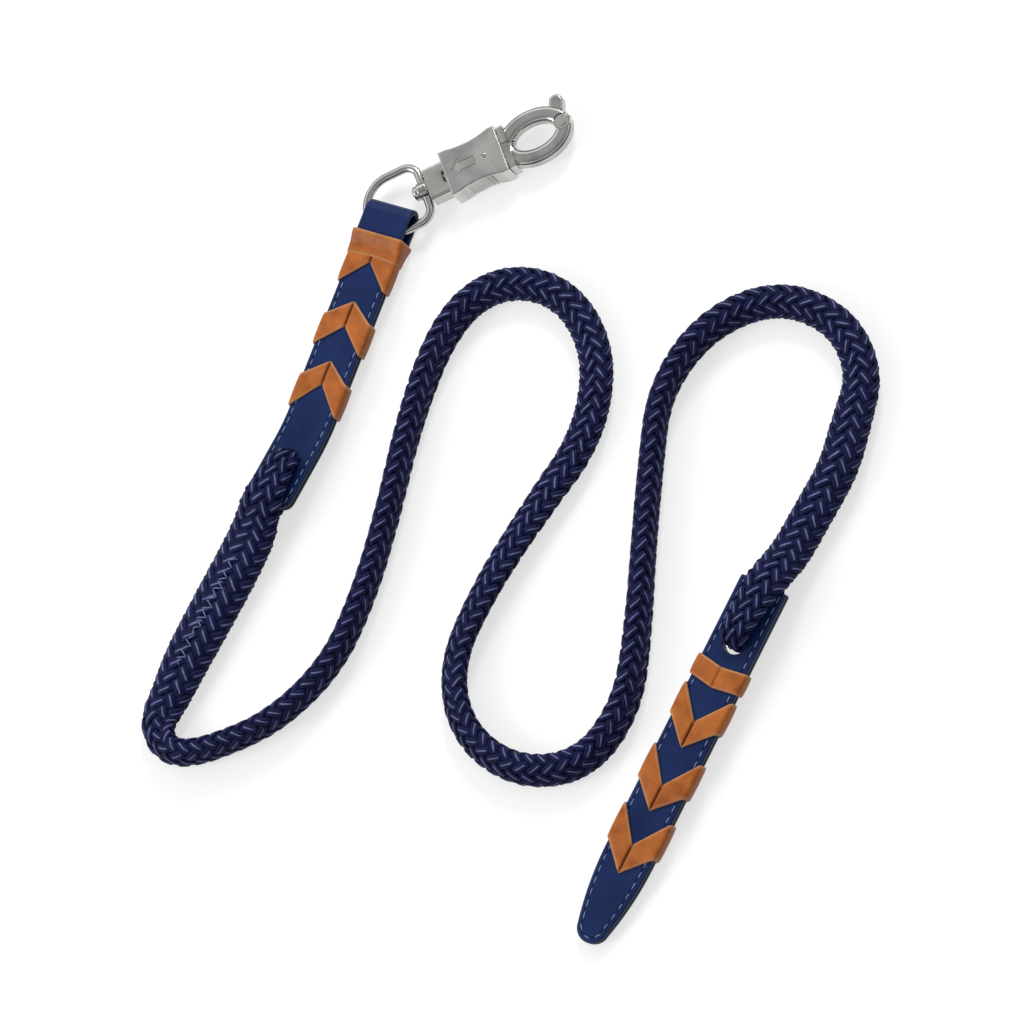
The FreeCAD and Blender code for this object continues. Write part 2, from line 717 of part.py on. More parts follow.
def release_sleeve():
    """Sliding sleeve with a waisted grip, ribs, an engraved arrow and a sloped mouth."""
    waist = (sleeve_from + sleeve_to) / 2
    edges = []
    for side in (1, -1):
        p = [
            Vector(sleeve_from, side * sleeve_eye_w, -sleeve_half_t),
            Vector(sleeve_from + sleeve_lip, side * sleeve_eye_w, -sleeve_half_t),
            Vector(sleeve_to - sleeve_lip, side * sleeve_loop_w, -sleeve_half_t),
            Vector(sleeve_to, side * sleeve_loop_w, -sleeve_half_t),
        ]
        bow = Vector(waist, side * sleeve_waist_w, -sleeve_half_t)
        edges.append(Part.LineSegment(p[0], p[1]).toShape())
        edges.append(Part.Arc(p[1], bow, p[2]).toShape())
        edges.append(Part.LineSegment(p[2], p[3]).toShape())
    for x, w in ((sleeve_from, sleeve_eye_w), (sleeve_to, sleeve_loop_w)):
        a = Vector(x, w, -sleeve_half_t)
        b = Vector(x, -w, -sleeve_half_t)
        edges.append(Part.LineSegment(a, b).toShape())
    outline = Part.Wire(Part.__sortEdges__(edges))
    body = Part.Face(outline).extrude(Vector(0, 0, 2 * sleeve_half_t))
    body = body.makeFillet(sleeve_round, [e for e in body.Edges if is_level(e)])
    first = waist - (rib_count - 1) * rib_step / 2
    for side in (1, -1):
        for i in range(rib_count):
            x = first + i * rib_step
            y = side * (sleeve_waist_w + rib_out)
            top = sleeve_half_t - rib_top
            body = body.cut(rod(x, y, rib_r, -sleeve_half_t - overshoot, top))
    bore_t = shank_half_t + slide_clear
    body = body.cut(block(0, 2 * sleeve_to, -bore_half_w, bore_half_w, -bore_t, bore_t))
    mouth = sleeve_to + overshoot
    inside = bore_half_w - overshoot
    seat = plate(
        [(heel_tip(bore_half_w), inside), (heel_tip(bore_half_w), bore_half_w),
         (heel_tip(seat_y), seat_y), (mouth, seat_y), (mouth, inside)],
        -shank_half_t, shank_half_t,
    )
    body = body.cut(seat)
    body = body.cut(rod(pin_x, 0, pin_r, -2 * sleeve_half_t, 2 * sleeve_half_t))
    return body.cut(arrow())


def arrow():
    """Plain arrow towards the eye: the way that the sleeve is pulled to release."""
    floor = sleeve_half_t - arrow_depth
    top = sleeve_half_t + overshoot
    return plate(arrow_outline, floor, top).cut(plate(arrow_inside, floor - overshoot, top))


def sleeve_pin():
    pin = rod(pin_x, 0, pin_r, -sleeve_half_t + pin_sunk, sleeve_half_t + pin_head)
    top = [e for e in pin.Edges if e.CenterOfMass.z > sleeve_half_t]
    return pin.makeFillet(pin_head, top)


def return_spring():
    """Coil spring in the shank's slot, between its end and the sleeve's pin."""
    start = slot_from + spring_wire + spring_seat
    stop = pin_x - pin_r - spring_wire - spring_seat
    length = stop - start
    helix = Part.makeHelix(length / spring_turns, length, spring_r)
    circle = Part.Circle(Vector(spring_r, 0, 0), Vector(0, 1, 0), spring_wire)
    profile = Part.Wire(circle.toShape())
    coil = Part.Wire(helix).makePipeShell([profile], True, True)
    coil.Placement = Placement(Vector(start, 0, 0), Rotation(Vector(0, 1, 0), 90))
    return coil


# ---------------------------------------------------------------- placement

os.makedirs("parts", exist_ok=True)

snap_place = frame_at(snap_at[0], snap_at[1], axis_z, snap_yaw)
ring_x = -(eye_out_len - eye_out_w / 2)
ring_centre = snap_place.multVec(Vector(ring_x, 0, 0))

# the tab rises from the eye so that its rope end clears the rope leg below it
hole_mid_z = leg_t + leg_clear + tab_half_h + leather_lift
snap_pitch = math.degrees(math.asin((hole_mid_z - axis_z) / snap_hole_x))
yaw = math.radians(snap_tab_yaw)
fold_x = ring_centre.x + eye_reach * math.cos(yaw)
fold_y = ring_centre.y + eye_reach * math.sin(yaw)
snap_tab_place = frame_at(fold_x, fold_y, axis_z, snap_tab_yaw, snap_pitch)

rope_end_place = snap_tab_place.multiply(bend_place())
snap_hole = rope_end_place.multVec(Vector(snap_hole_x - bend_to, 0, 0))
end_yaw = snap_tab_yaw + bend_turn
snap_eye_place = frame_at(snap_hole.x, snap_hole.y, 0, end_yaw + 180)
out = math.radians(end_yaw)
splice_place = frame_at(
    snap_hole.x + snap_throat * math.cos(out), snap_hole.y + snap_throat * math.sin(out),
    0, end_yaw,
)

# the tail tab rests on its tip and on the rope leg below its rope end
tail_pitch = -math.degrees(
    math.asin((hole_mid_z - tab_half_h) / (tail_tab_len - tail_hole_x))
)
tail_dir = Rotation(UP, tail_yaw).multVec(Vector(1, 0, 0))
tail_start = Vector(tail_hole[0], tail_hole[1], 0) - tail_dir * tail_hole_x
tail_z = hole_mid_z + tail_hole_x * math.sin(math.radians(-tail_pitch)) + tip_lift
tail_place = frame_at(tail_start.x, tail_start.y, tail_z, tail_yaw, tail_pitch)
tail_eye_place = frame_at(tail_hole[0], tail_hole[1], 0, tail_leg_yaw)

# ---------------------------------------------------------------- build and save

route = [Vector(x, y, rope_d / 2) for x, y in rope_route]
rope_path = rounded_path(route, label="rope")
rope = tube(rope_path, (route[1] - route[0]).normalize(), rope_d, rope_d, UP)
section = math.pi * (rope_d / 2) ** 2
print("rope length", round(rope_path.Length, 1))
print("rope volume to section x length", round(rope.Volume / section / rope_path.Length, 4))
save("rope", rope)

back = math.radians(tail_leg_yaw)
tail_throat_at = (
    tail_hole[0] - tail_throat * math.cos(back), tail_hole[1] - tail_throat * math.sin(back)
)
tail_points = [Vector(x, y, rope_d / 2) for x, y in tail_splice_route + [tail_throat_at]]
tail_path = rounded_path(tail_points, label="tail splice")
first = (tail_points[1] - tail_points[0]).normalize()
save("tail_splice", tube(tail_path, first, tail_splice_w, rope_d, UP))
print("tail splice length", round(tail_path.Length, 1))

save("snap_splice", placed(snap_splice(), splice_place))
save("snap_splice_stitching", *[placed(s, splice_place) for s in splice_stitches()])
snap_top = snap_tab_place.multVec(Vector(snap_tab_len, 0, tab_half_h)).z
tail_top = tail_place.multVec(Vector(0, 0, tab_half_h)).z
save("snap_rope_eye", placed(rope_eye(snap_top, snap_throat), snap_eye_place))
save("tail_rope_eye", placed(rope_eye(tail_top, tail_throat), tail_eye_place))

save("snap_strap", placed(snap_tab(), snap_tab_place))
rows = snap_rows(row_w, row_depth - row_clear, 0.0)
save("snap_tab_stitching", *[placed(row, snap_tab_place) for row in rows])
shell = snap_shell()
save("snap_lace_collar", placed(lace_band(shell, tab_half_h, collar), snap_tab_place))
for key, lace in snap_laces.items():
    band = lace_band(shell, tab_half_h, lace)
    save("snap_lace_chevron_" + key, placed(band, snap_tab_place))

split = layer_gap / 2
upper = tail_layer(split, tab_half_h).cut(tail_row(row_w + 2 * row_clear, row_depth, overshoot))
save("tail_upper_leather", placed(upper, tail_place))
save("tail_lower_leather", placed(tail_layer(-tab_half_h, -split), tail_place))
save("tail_tab_stitching", placed(tail_row(row_w, row_depth - row_clear, 0.0), tail_place))
shell = tail_shell()
save("tail_lace_band", placed(lace_band(shell, tab_half_h, tail_band), tail_place))
for key, lace in tail_laces.items():
    band = lace_band(shell, tab_half_h, lace)
    save("tail_lace_chevron_" + key, placed(band, tail_place))

for name, make in (
    ("swivel_eye", swivel_eye), ("swivel_rivet", swivel_rivet), ("snap_body", snap_body),
    ("release_arm", release_arm), ("hinge_pin", hinge_pin),
    ("release_sleeve", release_sleeve), ("sleeve_pin", sleeve_pin),
    ("return_spring", return_spring),
):
    save(name, placed(make(), snap_place))

print("snap axis from", snap_place.Base, "yaw", snap_yaw)
tilt = snap_tab_place.multVec(Vector(tilt_x, 0, 0))
lateral = snap_tab_place.Rotation.multVec(Vector(0, 1, 0))
print("tilt line at", tilt, "along", lateral)
pivot = snap_place.multVec(Vector(pivot_x, 0, 0))
print("pivot at", pivot)
print("slide along", snap_place.Rotation.multVec(Vector(-1, 0, 0)))
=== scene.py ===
import math
import random

import bmesh
import bpy
import numpy as np
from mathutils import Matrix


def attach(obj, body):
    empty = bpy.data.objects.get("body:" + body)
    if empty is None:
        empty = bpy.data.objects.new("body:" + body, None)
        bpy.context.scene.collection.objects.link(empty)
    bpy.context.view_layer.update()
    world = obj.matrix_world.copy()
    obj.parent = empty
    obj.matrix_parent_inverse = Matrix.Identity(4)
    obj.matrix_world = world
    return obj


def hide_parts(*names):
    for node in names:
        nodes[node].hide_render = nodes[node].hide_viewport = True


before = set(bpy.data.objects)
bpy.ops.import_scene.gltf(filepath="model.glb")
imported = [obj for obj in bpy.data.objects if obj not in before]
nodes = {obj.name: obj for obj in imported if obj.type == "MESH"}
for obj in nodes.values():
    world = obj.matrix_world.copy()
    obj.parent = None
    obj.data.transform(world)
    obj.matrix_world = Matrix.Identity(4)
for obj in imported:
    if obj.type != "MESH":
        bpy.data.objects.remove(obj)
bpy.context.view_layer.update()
mm = 0.001
scene = bpy.context.scene
rng = np.random.default_rng(7)
print("frame loaded", len(nodes))

# camera first, because the cord's spread is measured in its view
cameraData = bpy.data.cameras.new("camera")
cameraData.lens = 176.47
cameraData.sensor_width = 36.0
cameraData.clip_end = 20.0
camera = bpy.data.objects.new("camera", cameraData)
camera.location = (0.81035, -0.672125, 2.265775)
camera.rotation_euler = (math.radians(15.763), math.radians(19.657), 0.0)
scene.collection.objects.link(camera)
scene.camera = camera


# shader helpers
def newMaterial(name):
    mat = bpy.data.materials.new(name)
    mat.use_nodes = True
    tree = mat.node_tree
    tree.nodes.clear()
    out = tree.nodes.new("ShaderNodeOutputMaterial")
    bsdf = tree.nodes.new("ShaderNodeBsdfPrincipled")
    tree.links.new(bsdf.outputs[0], out.inputs[0])
    return mat, tree, bsdf


def feed(tree, socket, value):
    if isinstance(value, bpy.types.NodeSocket):
        tree.links.new(value, socket)
    elif value is not None:
        socket.default_value = value


def calc(tree, operation, a, b=None, c=None, clamp=False):
    node = tree.nodes.new("ShaderNodeMath")
    node.operation = operation
    node.use_clamp = clamp
    for socket, value in zip(node.inputs, (a, b, c)):
        feed(tree, socket, value)
    return node.outputs[0]


def blendColour(tree, factor, a, b, kind="MIX"):
    node = tree.nodes.new("ShaderNodeMix")
    node.data_type = "RGBA"
    node.blend_type = kind
    feed(tree, node.inputs[0], factor)
    feed(tree, node.inputs[6], a)
    feed(tree, node.inputs[7], b)
    return node.outputs[2]


def ranged(tree, value, low, high, toLow=0.0, toHigh=1.0):
    node = tree.nodes.new("ShaderNodeMapRange")
    feed(tree, node.inputs["Value"], value)
    node.inputs["From Min"].default_value = low
    node.inputs["From Max"].default_value = high
    node.inputs["To Min"].default_value = toLow
    node.inputs["To Max"].default_value = toHigh
    return node.outputs[0]


def noiseAt(tree, vector, scale, detail=3.0, rough=0.55):
    node = tree.nodes.new("ShaderNodeTexNoise")
    node.inputs["Scale"].default_value = scale
    node.inputs["Detail"].default_value = detail
    node.inputs["Roughness"].default_value = rough
    tree.links.new(vector, node.inputs["Vector"])
    return node.outputs["Fac"]


def attribute(tree, name):
    node = tree.nodes.new("ShaderNodeAttribute")
    node.attribute_name = name
    return node.outputs["Fac"]


def bumped(tree, height, distance, strength=1.0, normal=None):
    node = tree.nodes.new("ShaderNodeBump")
    node.inputs["Strength"].default_value = strength
    node.inputs["Distance"].default_value = distance
    tree.links.new(height, node.inputs["Height"])
    if normal is not None:
        tree.links.new(normal, node.inputs["Normal"])
    return node.outputs[0]


def objectSpace(tree):
    return tree.nodes.new("ShaderNodeTexCoord").outputs["Object"]


# pebbled surface with broad mottling, as leather and castings have
def grainGroup():
    group = bpy.data.node_groups.new("fineGrain", "ShaderNodeTree")
    for name, value in (("Pebble Scale", 900.0), ("Mottle Scale", 60.0), ("Depth", 0.0001)):
        made = group.interface.new_socket(name, in_out="INPUT", socket_type="NodeSocketFloat")
        made.default_value = value
    for name, kind in (("Mottle", "NodeSocketFloat"), ("Normal", "NodeSocketVector")):
        group.interface.new_socket(name, in_out="OUTPUT", socket_type=kind)
    source = group.nodes.new("NodeGroupInput")
    target = group.nodes.new("NodeGroupOutput")
    where = objectSpace(group)
    cells = group.nodes.new("ShaderNodeTexVoronoi")
    cells.feature = "SMOOTH_F1"
    group.links.new(where, cells.inputs["Vector"])
    group.links.new(source.outputs["Pebble Scale"], cells.inputs["Scale"])
    broad = group.nodes.new("ShaderNodeTexNoise")
    broad.inputs["Detail"].default_value = 4.0
    group.links.new(where, broad.inputs["Vector"])
    group.links.new(source.outputs["Mottle Scale"], broad.inputs["Scale"])
    fine = noiseAt(group, where, 2600.0, 2.0)
    height = calc(group, "MULTIPLY_ADD", fine, 0.4, cells.outputs["Distance"])
    bump = group.nodes.new("ShaderNodeBump")
    group.links.new(height, bump.inputs["Height"])
    group.links.new(source.outputs["Depth"], bump.inputs["Distance"])
    group.links.new(broad.outputs["Fac"], target.inputs["Mottle"])
    group.links.new(bump.outputs[0], target.inputs["Normal"])
    return group


fineGrain = grainGroup()


def grain(tree, pebble, mottle, depth):
    node = tree.nodes.new("ShaderNodeGroup")
    node.node_tree = fineGrain
    node.inputs["Pebble Scale"].default_value = pebble
    node.inputs["Mottle Scale"].default_value = mottle
    node.inputs["Depth"].default_value = depth
    return node


# braid material
def braidMaterial():
    mat, tree, bsdf = newMaterial("navyBraid")
    uv = tree.nodes.new("ShaderNodeUVMap")
    uv.uv_map = "strand"
    parts = tree.nodes.new("ShaderNodeSeparateXYZ")
    tree.links.new(uv.outputs[0], parts.inputs[0])
    along, across = parts.outputs[0], parts.outputs[1]
    stretched = tree.nodes.new("ShaderNodeCombineXYZ")
    tree.links.new(calc(tree, "MULTIPLY", along, 1.1), stretched.inputs[0])
    tree.links.new(calc(tree, "MULTIPLY", across, 11.0), stretched.inputs[1])
    fibres = noiseAt(tree, stretched.outputs[0], 1.0, 2.0)
    wander = noiseAt(tree, stretched.outputs[0], 0.35, 1.0)
    shade = attribute(tree, "shade")
    dark = (0.0028, 0.0042, 0.029, 1)
    light = (0.0078, 0.0105, 0.068, 1)
    strand = calc(tree, "MULTIPLY", shade, 0.4)
    tone = calc(tree, "MULTIPLY_ADD", ranged(tree, fibres, 0.35, 0.68), 0.6, strand)
    navy = blendColour(tree, tone, dark, light)
    centre = calc(tree, "MULTIPLY_ADD", wander, 0.12, 0.44)
    off = calc(tree, "ABSOLUTE", calc(tree, "SUBTRACT", across, centre))
    line = ranged(tree, off, 0.088, 0.052)
    line = calc(tree, "MULTIPLY", line, ranged(tree, attribute(tree, "over"), 0.8, 0.97))
    line = calc(tree, "MULTIPLY", line, ranged(tree, fibres, 0.22, 0.5, 0.45, 1.0), clamp=True)
    tracer = (0.14, 0.16, 0.33, 1)
    tree.links.new(blendColour(tree, line, navy, tracer), bsdf.inputs["Base Color"])
    bsdf.inputs["Roughness"].default_value = 0.6
    bsdf.inputs["Specular IOR Level"].default_value = 0.14
    bsdf.inputs["Sheen Weight"].default_value = 0.03
    bsdf.inputs["Sheen Roughness"].default_value = 0.45
    bsdf.inputs["Sheen Tint"].default_value = (0.2, 0.28, 0.9, 1)
    height = calc(tree, "MULTIPLY_ADD", line, 0.5, fibres)
    tree.links.new(bumped(tree, height, 0.00035, 0.8), bsdf.inputs["Normal"])
    return mat


def coreMaterial():
    mat, tree, bsdf = newMaterial("braidCore")
    tone = noiseAt(tree, objectSpace(tree), 700.0, 2.0)
    dark = (0.0018, 0.0028, 0.018, 1)
    light = (0.005, 0.0075, 0.044, 1)
    tree.links.new(blendColour(tree, tone, dark, light), bsdf.inputs["Base Color"])
    bsdf.inputs["Roughness"].default_value = 0.8
    tree.links.new(bumped(tree, tone, 0.0003), bsdf.inputs["Normal"])
    return mat


navyBraid = braidMaterial()
braidCore = coreMaterial()


# leather, lace and thread
def leatherMaterial():
    mat, tree, bsdf = newMaterial("navyLeather")
    skin = grain(tree, 1500.0, 45.0, 0.00005)
    mottle = ranged(tree, skin.outputs["Mottle"], 0.3, 0.7)
    deep = (0.003, 0.013, 0.07, 1)
    lit = (0.0048, 0.022, 0.108, 1)
    colour = blendColour(tree, mottle, deep, lit)
    edge = attribute(tree, "edge")
    colour = blendColour(tree, calc(tree, "MULTIPLY", edge, 0.75), colour, (0.002, 0.005, 0.024, 1))
    # lighter patches on the crest of the rounded edge
    patchy = ranged(tree, skin.outputs["Mottle"], 0.45, 0.75, 0.1, 0.55)
    brightEdges = calc(tree, "MULTIPLY", attribute(tree, "crest"), patchy)
    colour = blendColour(tree, brightEdges, colour, (0.03, 0.055, 0.19, 1))
    tree.links.new(colour, bsdf.inputs["Base Color"])
    rough = ranged(tree, skin.outputs["Mottle"], 0.25, 0.75, 0.34, 0.5)
    tree.links.new(rough, bsdf.inputs["Roughness"])
    bsdf.inputs["Specular IOR Level"].default_value = 0.2
    tree.links.new(skin.outputs["Normal"], bsdf.inputs["Normal"])
    return mat


def laceMaterial():
    mat, tree, bsdf = newMaterial("tanLace")
    skin = grain(tree, 1100.0, 110.0, 0.00004)
    mottle = ranged(tree, skin.outputs["Mottle"], 0.3, 0.7)
    colour = blendColour(tree, mottle, (0.3, 0.072, 0.008, 1), (0.5, 0.143, 0.019, 1))
    # painted shade: the lace darkens to near black where it tucks into the slit at the middle
    tuck = calc(tree, "POWER", attribute(tree, "tuck"), 1.4)
    colour = blendColour(tree, calc(tree, "MULTIPLY", tuck, 0.93), colour, (0.028, 0.006, 0.002, 1))
    cut = calc(tree, "MULTIPLY", attribute(tree, "cut"), 0.6)
    colour = blendColour(tree, cut, colour, (0.56, 0.31, 0.14, 1))
    tree.links.new(colour, bsdf.inputs["Base Color"])
    tree.links.new(ranged(tree, skin.outputs["Mottle"], 0.25, 0.75, 0.36, 0.52), bsdf.inputs["Roughness"])
    bsdf.inputs["Specular IOR Level"].default_value = 0.35
    tree.links.new(skin.outputs["Normal"], bsdf.inputs["Normal"])
    return mat


def threadMaterial(name, low, high):
    mat, tree, bsdf = newMaterial(name)
    where = objectSpace(tree)
    wave = noiseAt(tree, where, 1500.0, 2.0)
    colour = blendColour(tree, ranged(tree, wave, 0.3, 0.7), low, high)
    tree.links.new(colour, bsdf.inputs["Base Color"])
    bsdf.inputs["Roughness"].default_value = 0.5
    tree.links.new(bumped(tree, wave, 0.0001), bsdf.inputs["Normal"])
    return mat


def nickelMaterial(name, rough, brushed):
    mat, tree, bsdf = newMaterial(name)
    skin = grain(tree, 420.0, 90.0, 0.00001 if brushed else 0.000025)
    mottle = ranged(tree, skin.outputs["Mottle"], 0.3, 0.7)
    colour = blendColour(tree, mottle, (0.42, 0.415, 0.4, 1), (0.6, 0.59, 0.575, 1))
    # brighter colour on the sharp convex edges, picked by pointiness
    geometry = tree.nodes.new("ShaderNodeNewGeometry")
    brightEdges = ranged(tree, geometry.outputs["Pointiness"], 0.52, 0.58)
    colour = blendColour(tree, calc(tree, "MULTIPLY", brightEdges, 0.5), colour, (0.78, 0.76, 0.72, 1))
    tree.links.new(colour, bsdf.inputs["Base Color"])
    bsdf.inputs["Metallic"].default_value = 1.0
    if brushed:
        turn = tree.nodes.new("ShaderNodeMapping")
        turn.inputs["Rotation"].default_value = (0, 0, math.radians(-19.6))
        turn.inputs["Scale"].default_value = (60.0, 2600.0, 2600.0)
        tree.links.new(objectSpace(tree), turn.inputs["Vector"])
        streak = noiseAt(tree, turn.outputs[0], 1.0, 2.0)
        level = calc(tree, "MULTIPLY_ADD", streak, 0.12, rough - 0.06)
        tree.links.new(level, bsdf.inputs["Roughness"])
        tree.links.new(bumped(tree, streak, 0.000012, 1.0, skin.outputs["Normal"]), bsdf.inputs["Normal"])
    else:
        level = calc(tree, "MULTIPLY_ADD", skin.outputs["Mottle"], 0.14, rough - 0.07)
        tree.links.new(level, bsdf.inputs["Roughness"])
        tree.links.new(skin.outputs["Normal"], bsdf.inputs["Normal"])
    return mat


navyLeather = leatherMaterial()
tanLace = laceMaterial()
paleThread = threadMaterial("paleThread", (0.12, 0.18, 0.36, 1), (0.3, 0.4, 0.6, 1))
spliceThread = threadMaterial("spliceThread", (0.06, 0.075, 0.2, 1), (0.22, 0.26, 0.46, 1))
castNickel = nickelMaterial("castNickel", 0.17, False)
brushedNickel = nickelMaterial("brushedNickel", 0.24, True)
springWire = nickelMaterial("springWire", 0.2, True)
print("materials made")


# mesh helpers
def makePiece(name, points, faces, material, floats=None, uv=None):
    mesh = bpy.data.meshes.new(name)
    mesh.from_pydata([tuple(p) for p in points], [], faces)
    mesh.validate()
    for label, values in (floats or {}).items():
        layer = mesh.attributes.new(label, "FLOAT", "POINT")
        layer.data.foreach_set("value", np.asarray(values, dtype=np.float32))
    if uv is not None:
        layer = mesh.uv_layers.new(name="strand")
        index = np.empty(len(mesh.loops), dtype=np.int32)
        mesh.loops.foreach_get("vertex_index", index)
        layer.data.foreach_set("uv", np.asarray(uv, dtype=np.float32)[index].ravel())
    mesh.polygons.foreach_set("use_smooth", np.ones(len(mesh.polygons), dtype=bool))
    mesh.materials.append(material)
    piece = bpy.data.objects.new(name, mesh)
    scene.collection.objects.link(piece)
    return piece


def tidyMesh(piece, distance):
    mesh = bmesh.new()
    mesh.from_mesh(piece.data)
    bmesh.ops.remove_doubles(mesh, verts=mesh.verts, dist=distance)
    bmesh.ops.dissolve_degenerate(mesh, edges=mesh.edges, dist=distance)
    bmesh.ops.recalc_face_normals(mesh, faces=mesh.faces)
    mesh.to_mesh(piece.data)
    mesh.free()


# skin and end caps of a closed tube made of rings of points
def tubeFaces(count, sides, base=0, flip=False):
    faces = []
    for i in range(count - 1):
        here, ahead = base + i * sides, base + (i + 1) * sides
        for j in range(sides):
            n = (j + 1) % sides
            faces.append((here + j, ahead + j, ahead + n, here + n))
    faces.append(tuple(base + j for j in range(sides)))
    faces.append(tuple(base + count * sides - 1 - j for j in range(sides)))
    return [face[::-1] for face in faces] if flip else faces


def readSpline(name, points, steps):
    curve = bpy.data.curves.new(name, "CURVE")
    curve.dimensions = "3D"
    spline = curve.splines.new("NURBS")
    spline.points.add(len(points) - 1)
    for target, point in zip(spline.points, points):
        target.co = (point[0], point[1], point[2], 1.0)
    spline.order_u = 3
    spline.use_endpoint_u = True
    spline.resolution_u = steps
    curve.resolution_u = steps
    holder = bpy.data.objects.new(name, curve)
    scene.collection.objects.link(holder)
    bpy.context.view_layer.update()
    mesh = bpy.data.meshes.new_from_object(holder)
    line = np.array([v.co[:] for v in mesh.vertices])
    bpy.data.objects.remove(holder)
    bpy.data.meshes.remove(mesh)
    bpy.data.curves.remove(curve)
    return line


def unit(v):
    return v / np.maximum(np.linalg.norm(v, axis=-1, keepdims=True), 1e-12)


# rope: one length, from inside one splice, through both tabs, to inside the other
rope = {
    "snapHole": (-0.113628, 0.039772), "snapOut": (-0.5, -0.866025),
    "tailHole": (0.1228, -0.0734), "tailOut": (0.5225, 0.8526),
    "turnLength": 59.0, "ringStep": 1.475, "diameter": 0.018,
    "strands": 16, "strandInset": 1.6, "strandHalfHigh": 0.85, "strandFill": 0.57,
    "lift": 0.95, "coreInset": 1.9, "coreSides": 20,
}
# distance out from the hole, height of the middle, half width, half height
snapLeg = [
    (0.046, 0.0065, 6, 4), (0.043, 0.0042, 6, 4), (0.022, 0.004, 6, 4), (-0.0022, 0.004, 6, 4),
    (-0.0022, 0.0201, 7.6, 4.2), (0.012, 0.0203, 9.6, 4.5), (0.024, 0.019, 11.8, 5),
    (0.034, 0.0125, 12.8, 6), (0.044, 0.009, 13.2, 7.5),
    (0.063, 0.008, 13.4, 8), (0.088, 0.008, 13.4, 8), (0.113, 0.008, 12.8, 7.8),
]
# place on the floor, turn of the flattened braid, half width, half height
route = [
    (-0.1795, -0.077, 0, 11, 7), (-0.186, -0.088, 15, 10.4, 6.6), (-0.183, -0.1005, 40, 8.9, 6.1),
    (-0.1715, -0.107, 75, 8.9, 6.1), (-0.151, -0.104, 85, 8.9, 6.1), (-0.120, -0.093, 90, 8.9, 6.1),
    (-0.090, -0.067, 90, 8.9, 6.1), (-0.073, -0.031, 88, 8.9, 6.1), (-0.061, 0.009, 88, 8.9, 6.1),
    (-0.051, 0.051, 85, 8.9, 6.1), (-0.037, 0.092, 65, 8.9, 6.1), (-0.020, 0.116, 55, 8.9, 6.1),
    (0.002, 0.125, 40, 8.9, 6.1), (0.026, 0.119, 25, 8.9, 6.1), (0.043, 0.101, 12, 8.9, 6.1),
    (0.051, 0.073, 0, 8.9, 6.1), (0.043, 0.037, 0, 8.9, 6.1), (0.017, 0.004, 24, 8.9, 6.1),
    (-0.010, -0.035, 40, 8.9, 6.1), (-0.028, -0.073, 53, 8.9, 6.1), (-0.021, -0.108, 48, 8.9, 6.1),
    (0.007, -0.130, 45, 8.9, 6.1), (0.042, -0.129, 45, 8.9, 6.1), (0.065, -0.101, 63, 8.9, 6.1),
    (0.071, -0.061, 80, 8.9, 6.1), (0.074, -0.021, 90, 8.9, 6.1), (0.078, 0.021, 90, 8.9, 6.1),
    (0.083, 0.059, 90, 8.9, 6.1), (0.107, 0.090, 65, 8.9, 6.1), (0.143, 0.102, 40, 8.9, 6.1),
    (0.175, 0.087, 20, 8.9, 6.1), (0.1884, 0.058, 5, 9.4, 6.6), (0.180, 0.030, 0, 10.5, 7.5),
    (0.174, 0.010, 0, 10.5, 7.5), (0.1615, -0.0103, 0, 10.5, 7.5), (0.1489, -0.0308, 0, 10.5, 7.5),
]
tailLeg = [
    (0.040, 0.013, 10.8, 6), (0.030, 0.019, 10.4, 5), (0.020, 0.0208, 9.4, 4.5), (0.012, 0.0211, 8.4, 4.2),
    (-0.0016, 0.0211, 7.2, 4.1), (-0.0016, 0.004, 6, 4), (0.022, 0.004, 6, 4),
    (0.043, 0.0042, 6, 4), (0.046, 0.0065, 6, 4),
]


def ropeControls():
    places, sections = [], []
    for out, z, wide, high in snapLeg:
        hole, way = rope["snapHole"], rope["snapOut"]
        places.append((hole[0] + way[0] * out, hole[1] + way[1] * out, z))
        sections.append((wide, high, 0.0))
    for x, y, turn, wide, high in route:
        t = math.radians(turn)
        height = math.sqrt((wide * math.sin(t)) ** 2 + (high * math.cos(t)) ** 2)
        places.append((x, y, height * mm))
        sections.append((wide, high, turn))
    for out, z, wide, high in tailLeg:
        hole, way = rope["tailHole"], rope["tailOut"]
        places.append((hole[0] + way[0] * out, hole[1] + way[1] * out, z))
        sections.append((wide, high, 0.0))
    return places, sections


def ropeRings():
    places, sections = ropeControls()
    line = readSpline("ropeLine", places, 32)
    size = readSpline("ropeSection", sections, 32)
    gone = np.concatenate([[0], np.cumsum(np.linalg.norm(np.diff(line, axis=0), axis=1))])
    count = int(round(gone[-1] / (rope["ringStep"] * mm))) + 1
    s = np.linspace(0, gone[-1], count)
    centre = np.stack([np.interp(s, gone, line[:, i]) for i in range(3)], axis=1)
    section = np.stack([np.interp(s, gone, size[:, i]) for i in range(3)], axis=1)
    ahead = unit(np.gradient(centre, axis=0))
    side = np.zeros_like(centre)
    now = np.array([-ahead[0][1], ahead[0][0], 0.0])
    for i in range(count):
        t = ahead[i]
        now = now - t * np.dot(now, t)
        now = now / np.linalg.norm(now)
        if abs(t[2]) < 0.5:
            level = np.array([-t[1], t[0], 0.0])
            level = level / np.linalg.norm(level) * (1 if np.dot(level, now) > 0 else -1)
            now = unit(now * 0.9 + level * 0.1)
        side[i] = now
    top = np.cross(ahead, side)
    turn = np.radians(section[:, 2])[:, None]
    wide = side * np.cos(turn) + top * np.sin(turn)
    high = np.cross(ahead, wide)
    return s, centre, wide, high, section[:, 0] * mm, section[:, 1] * mm


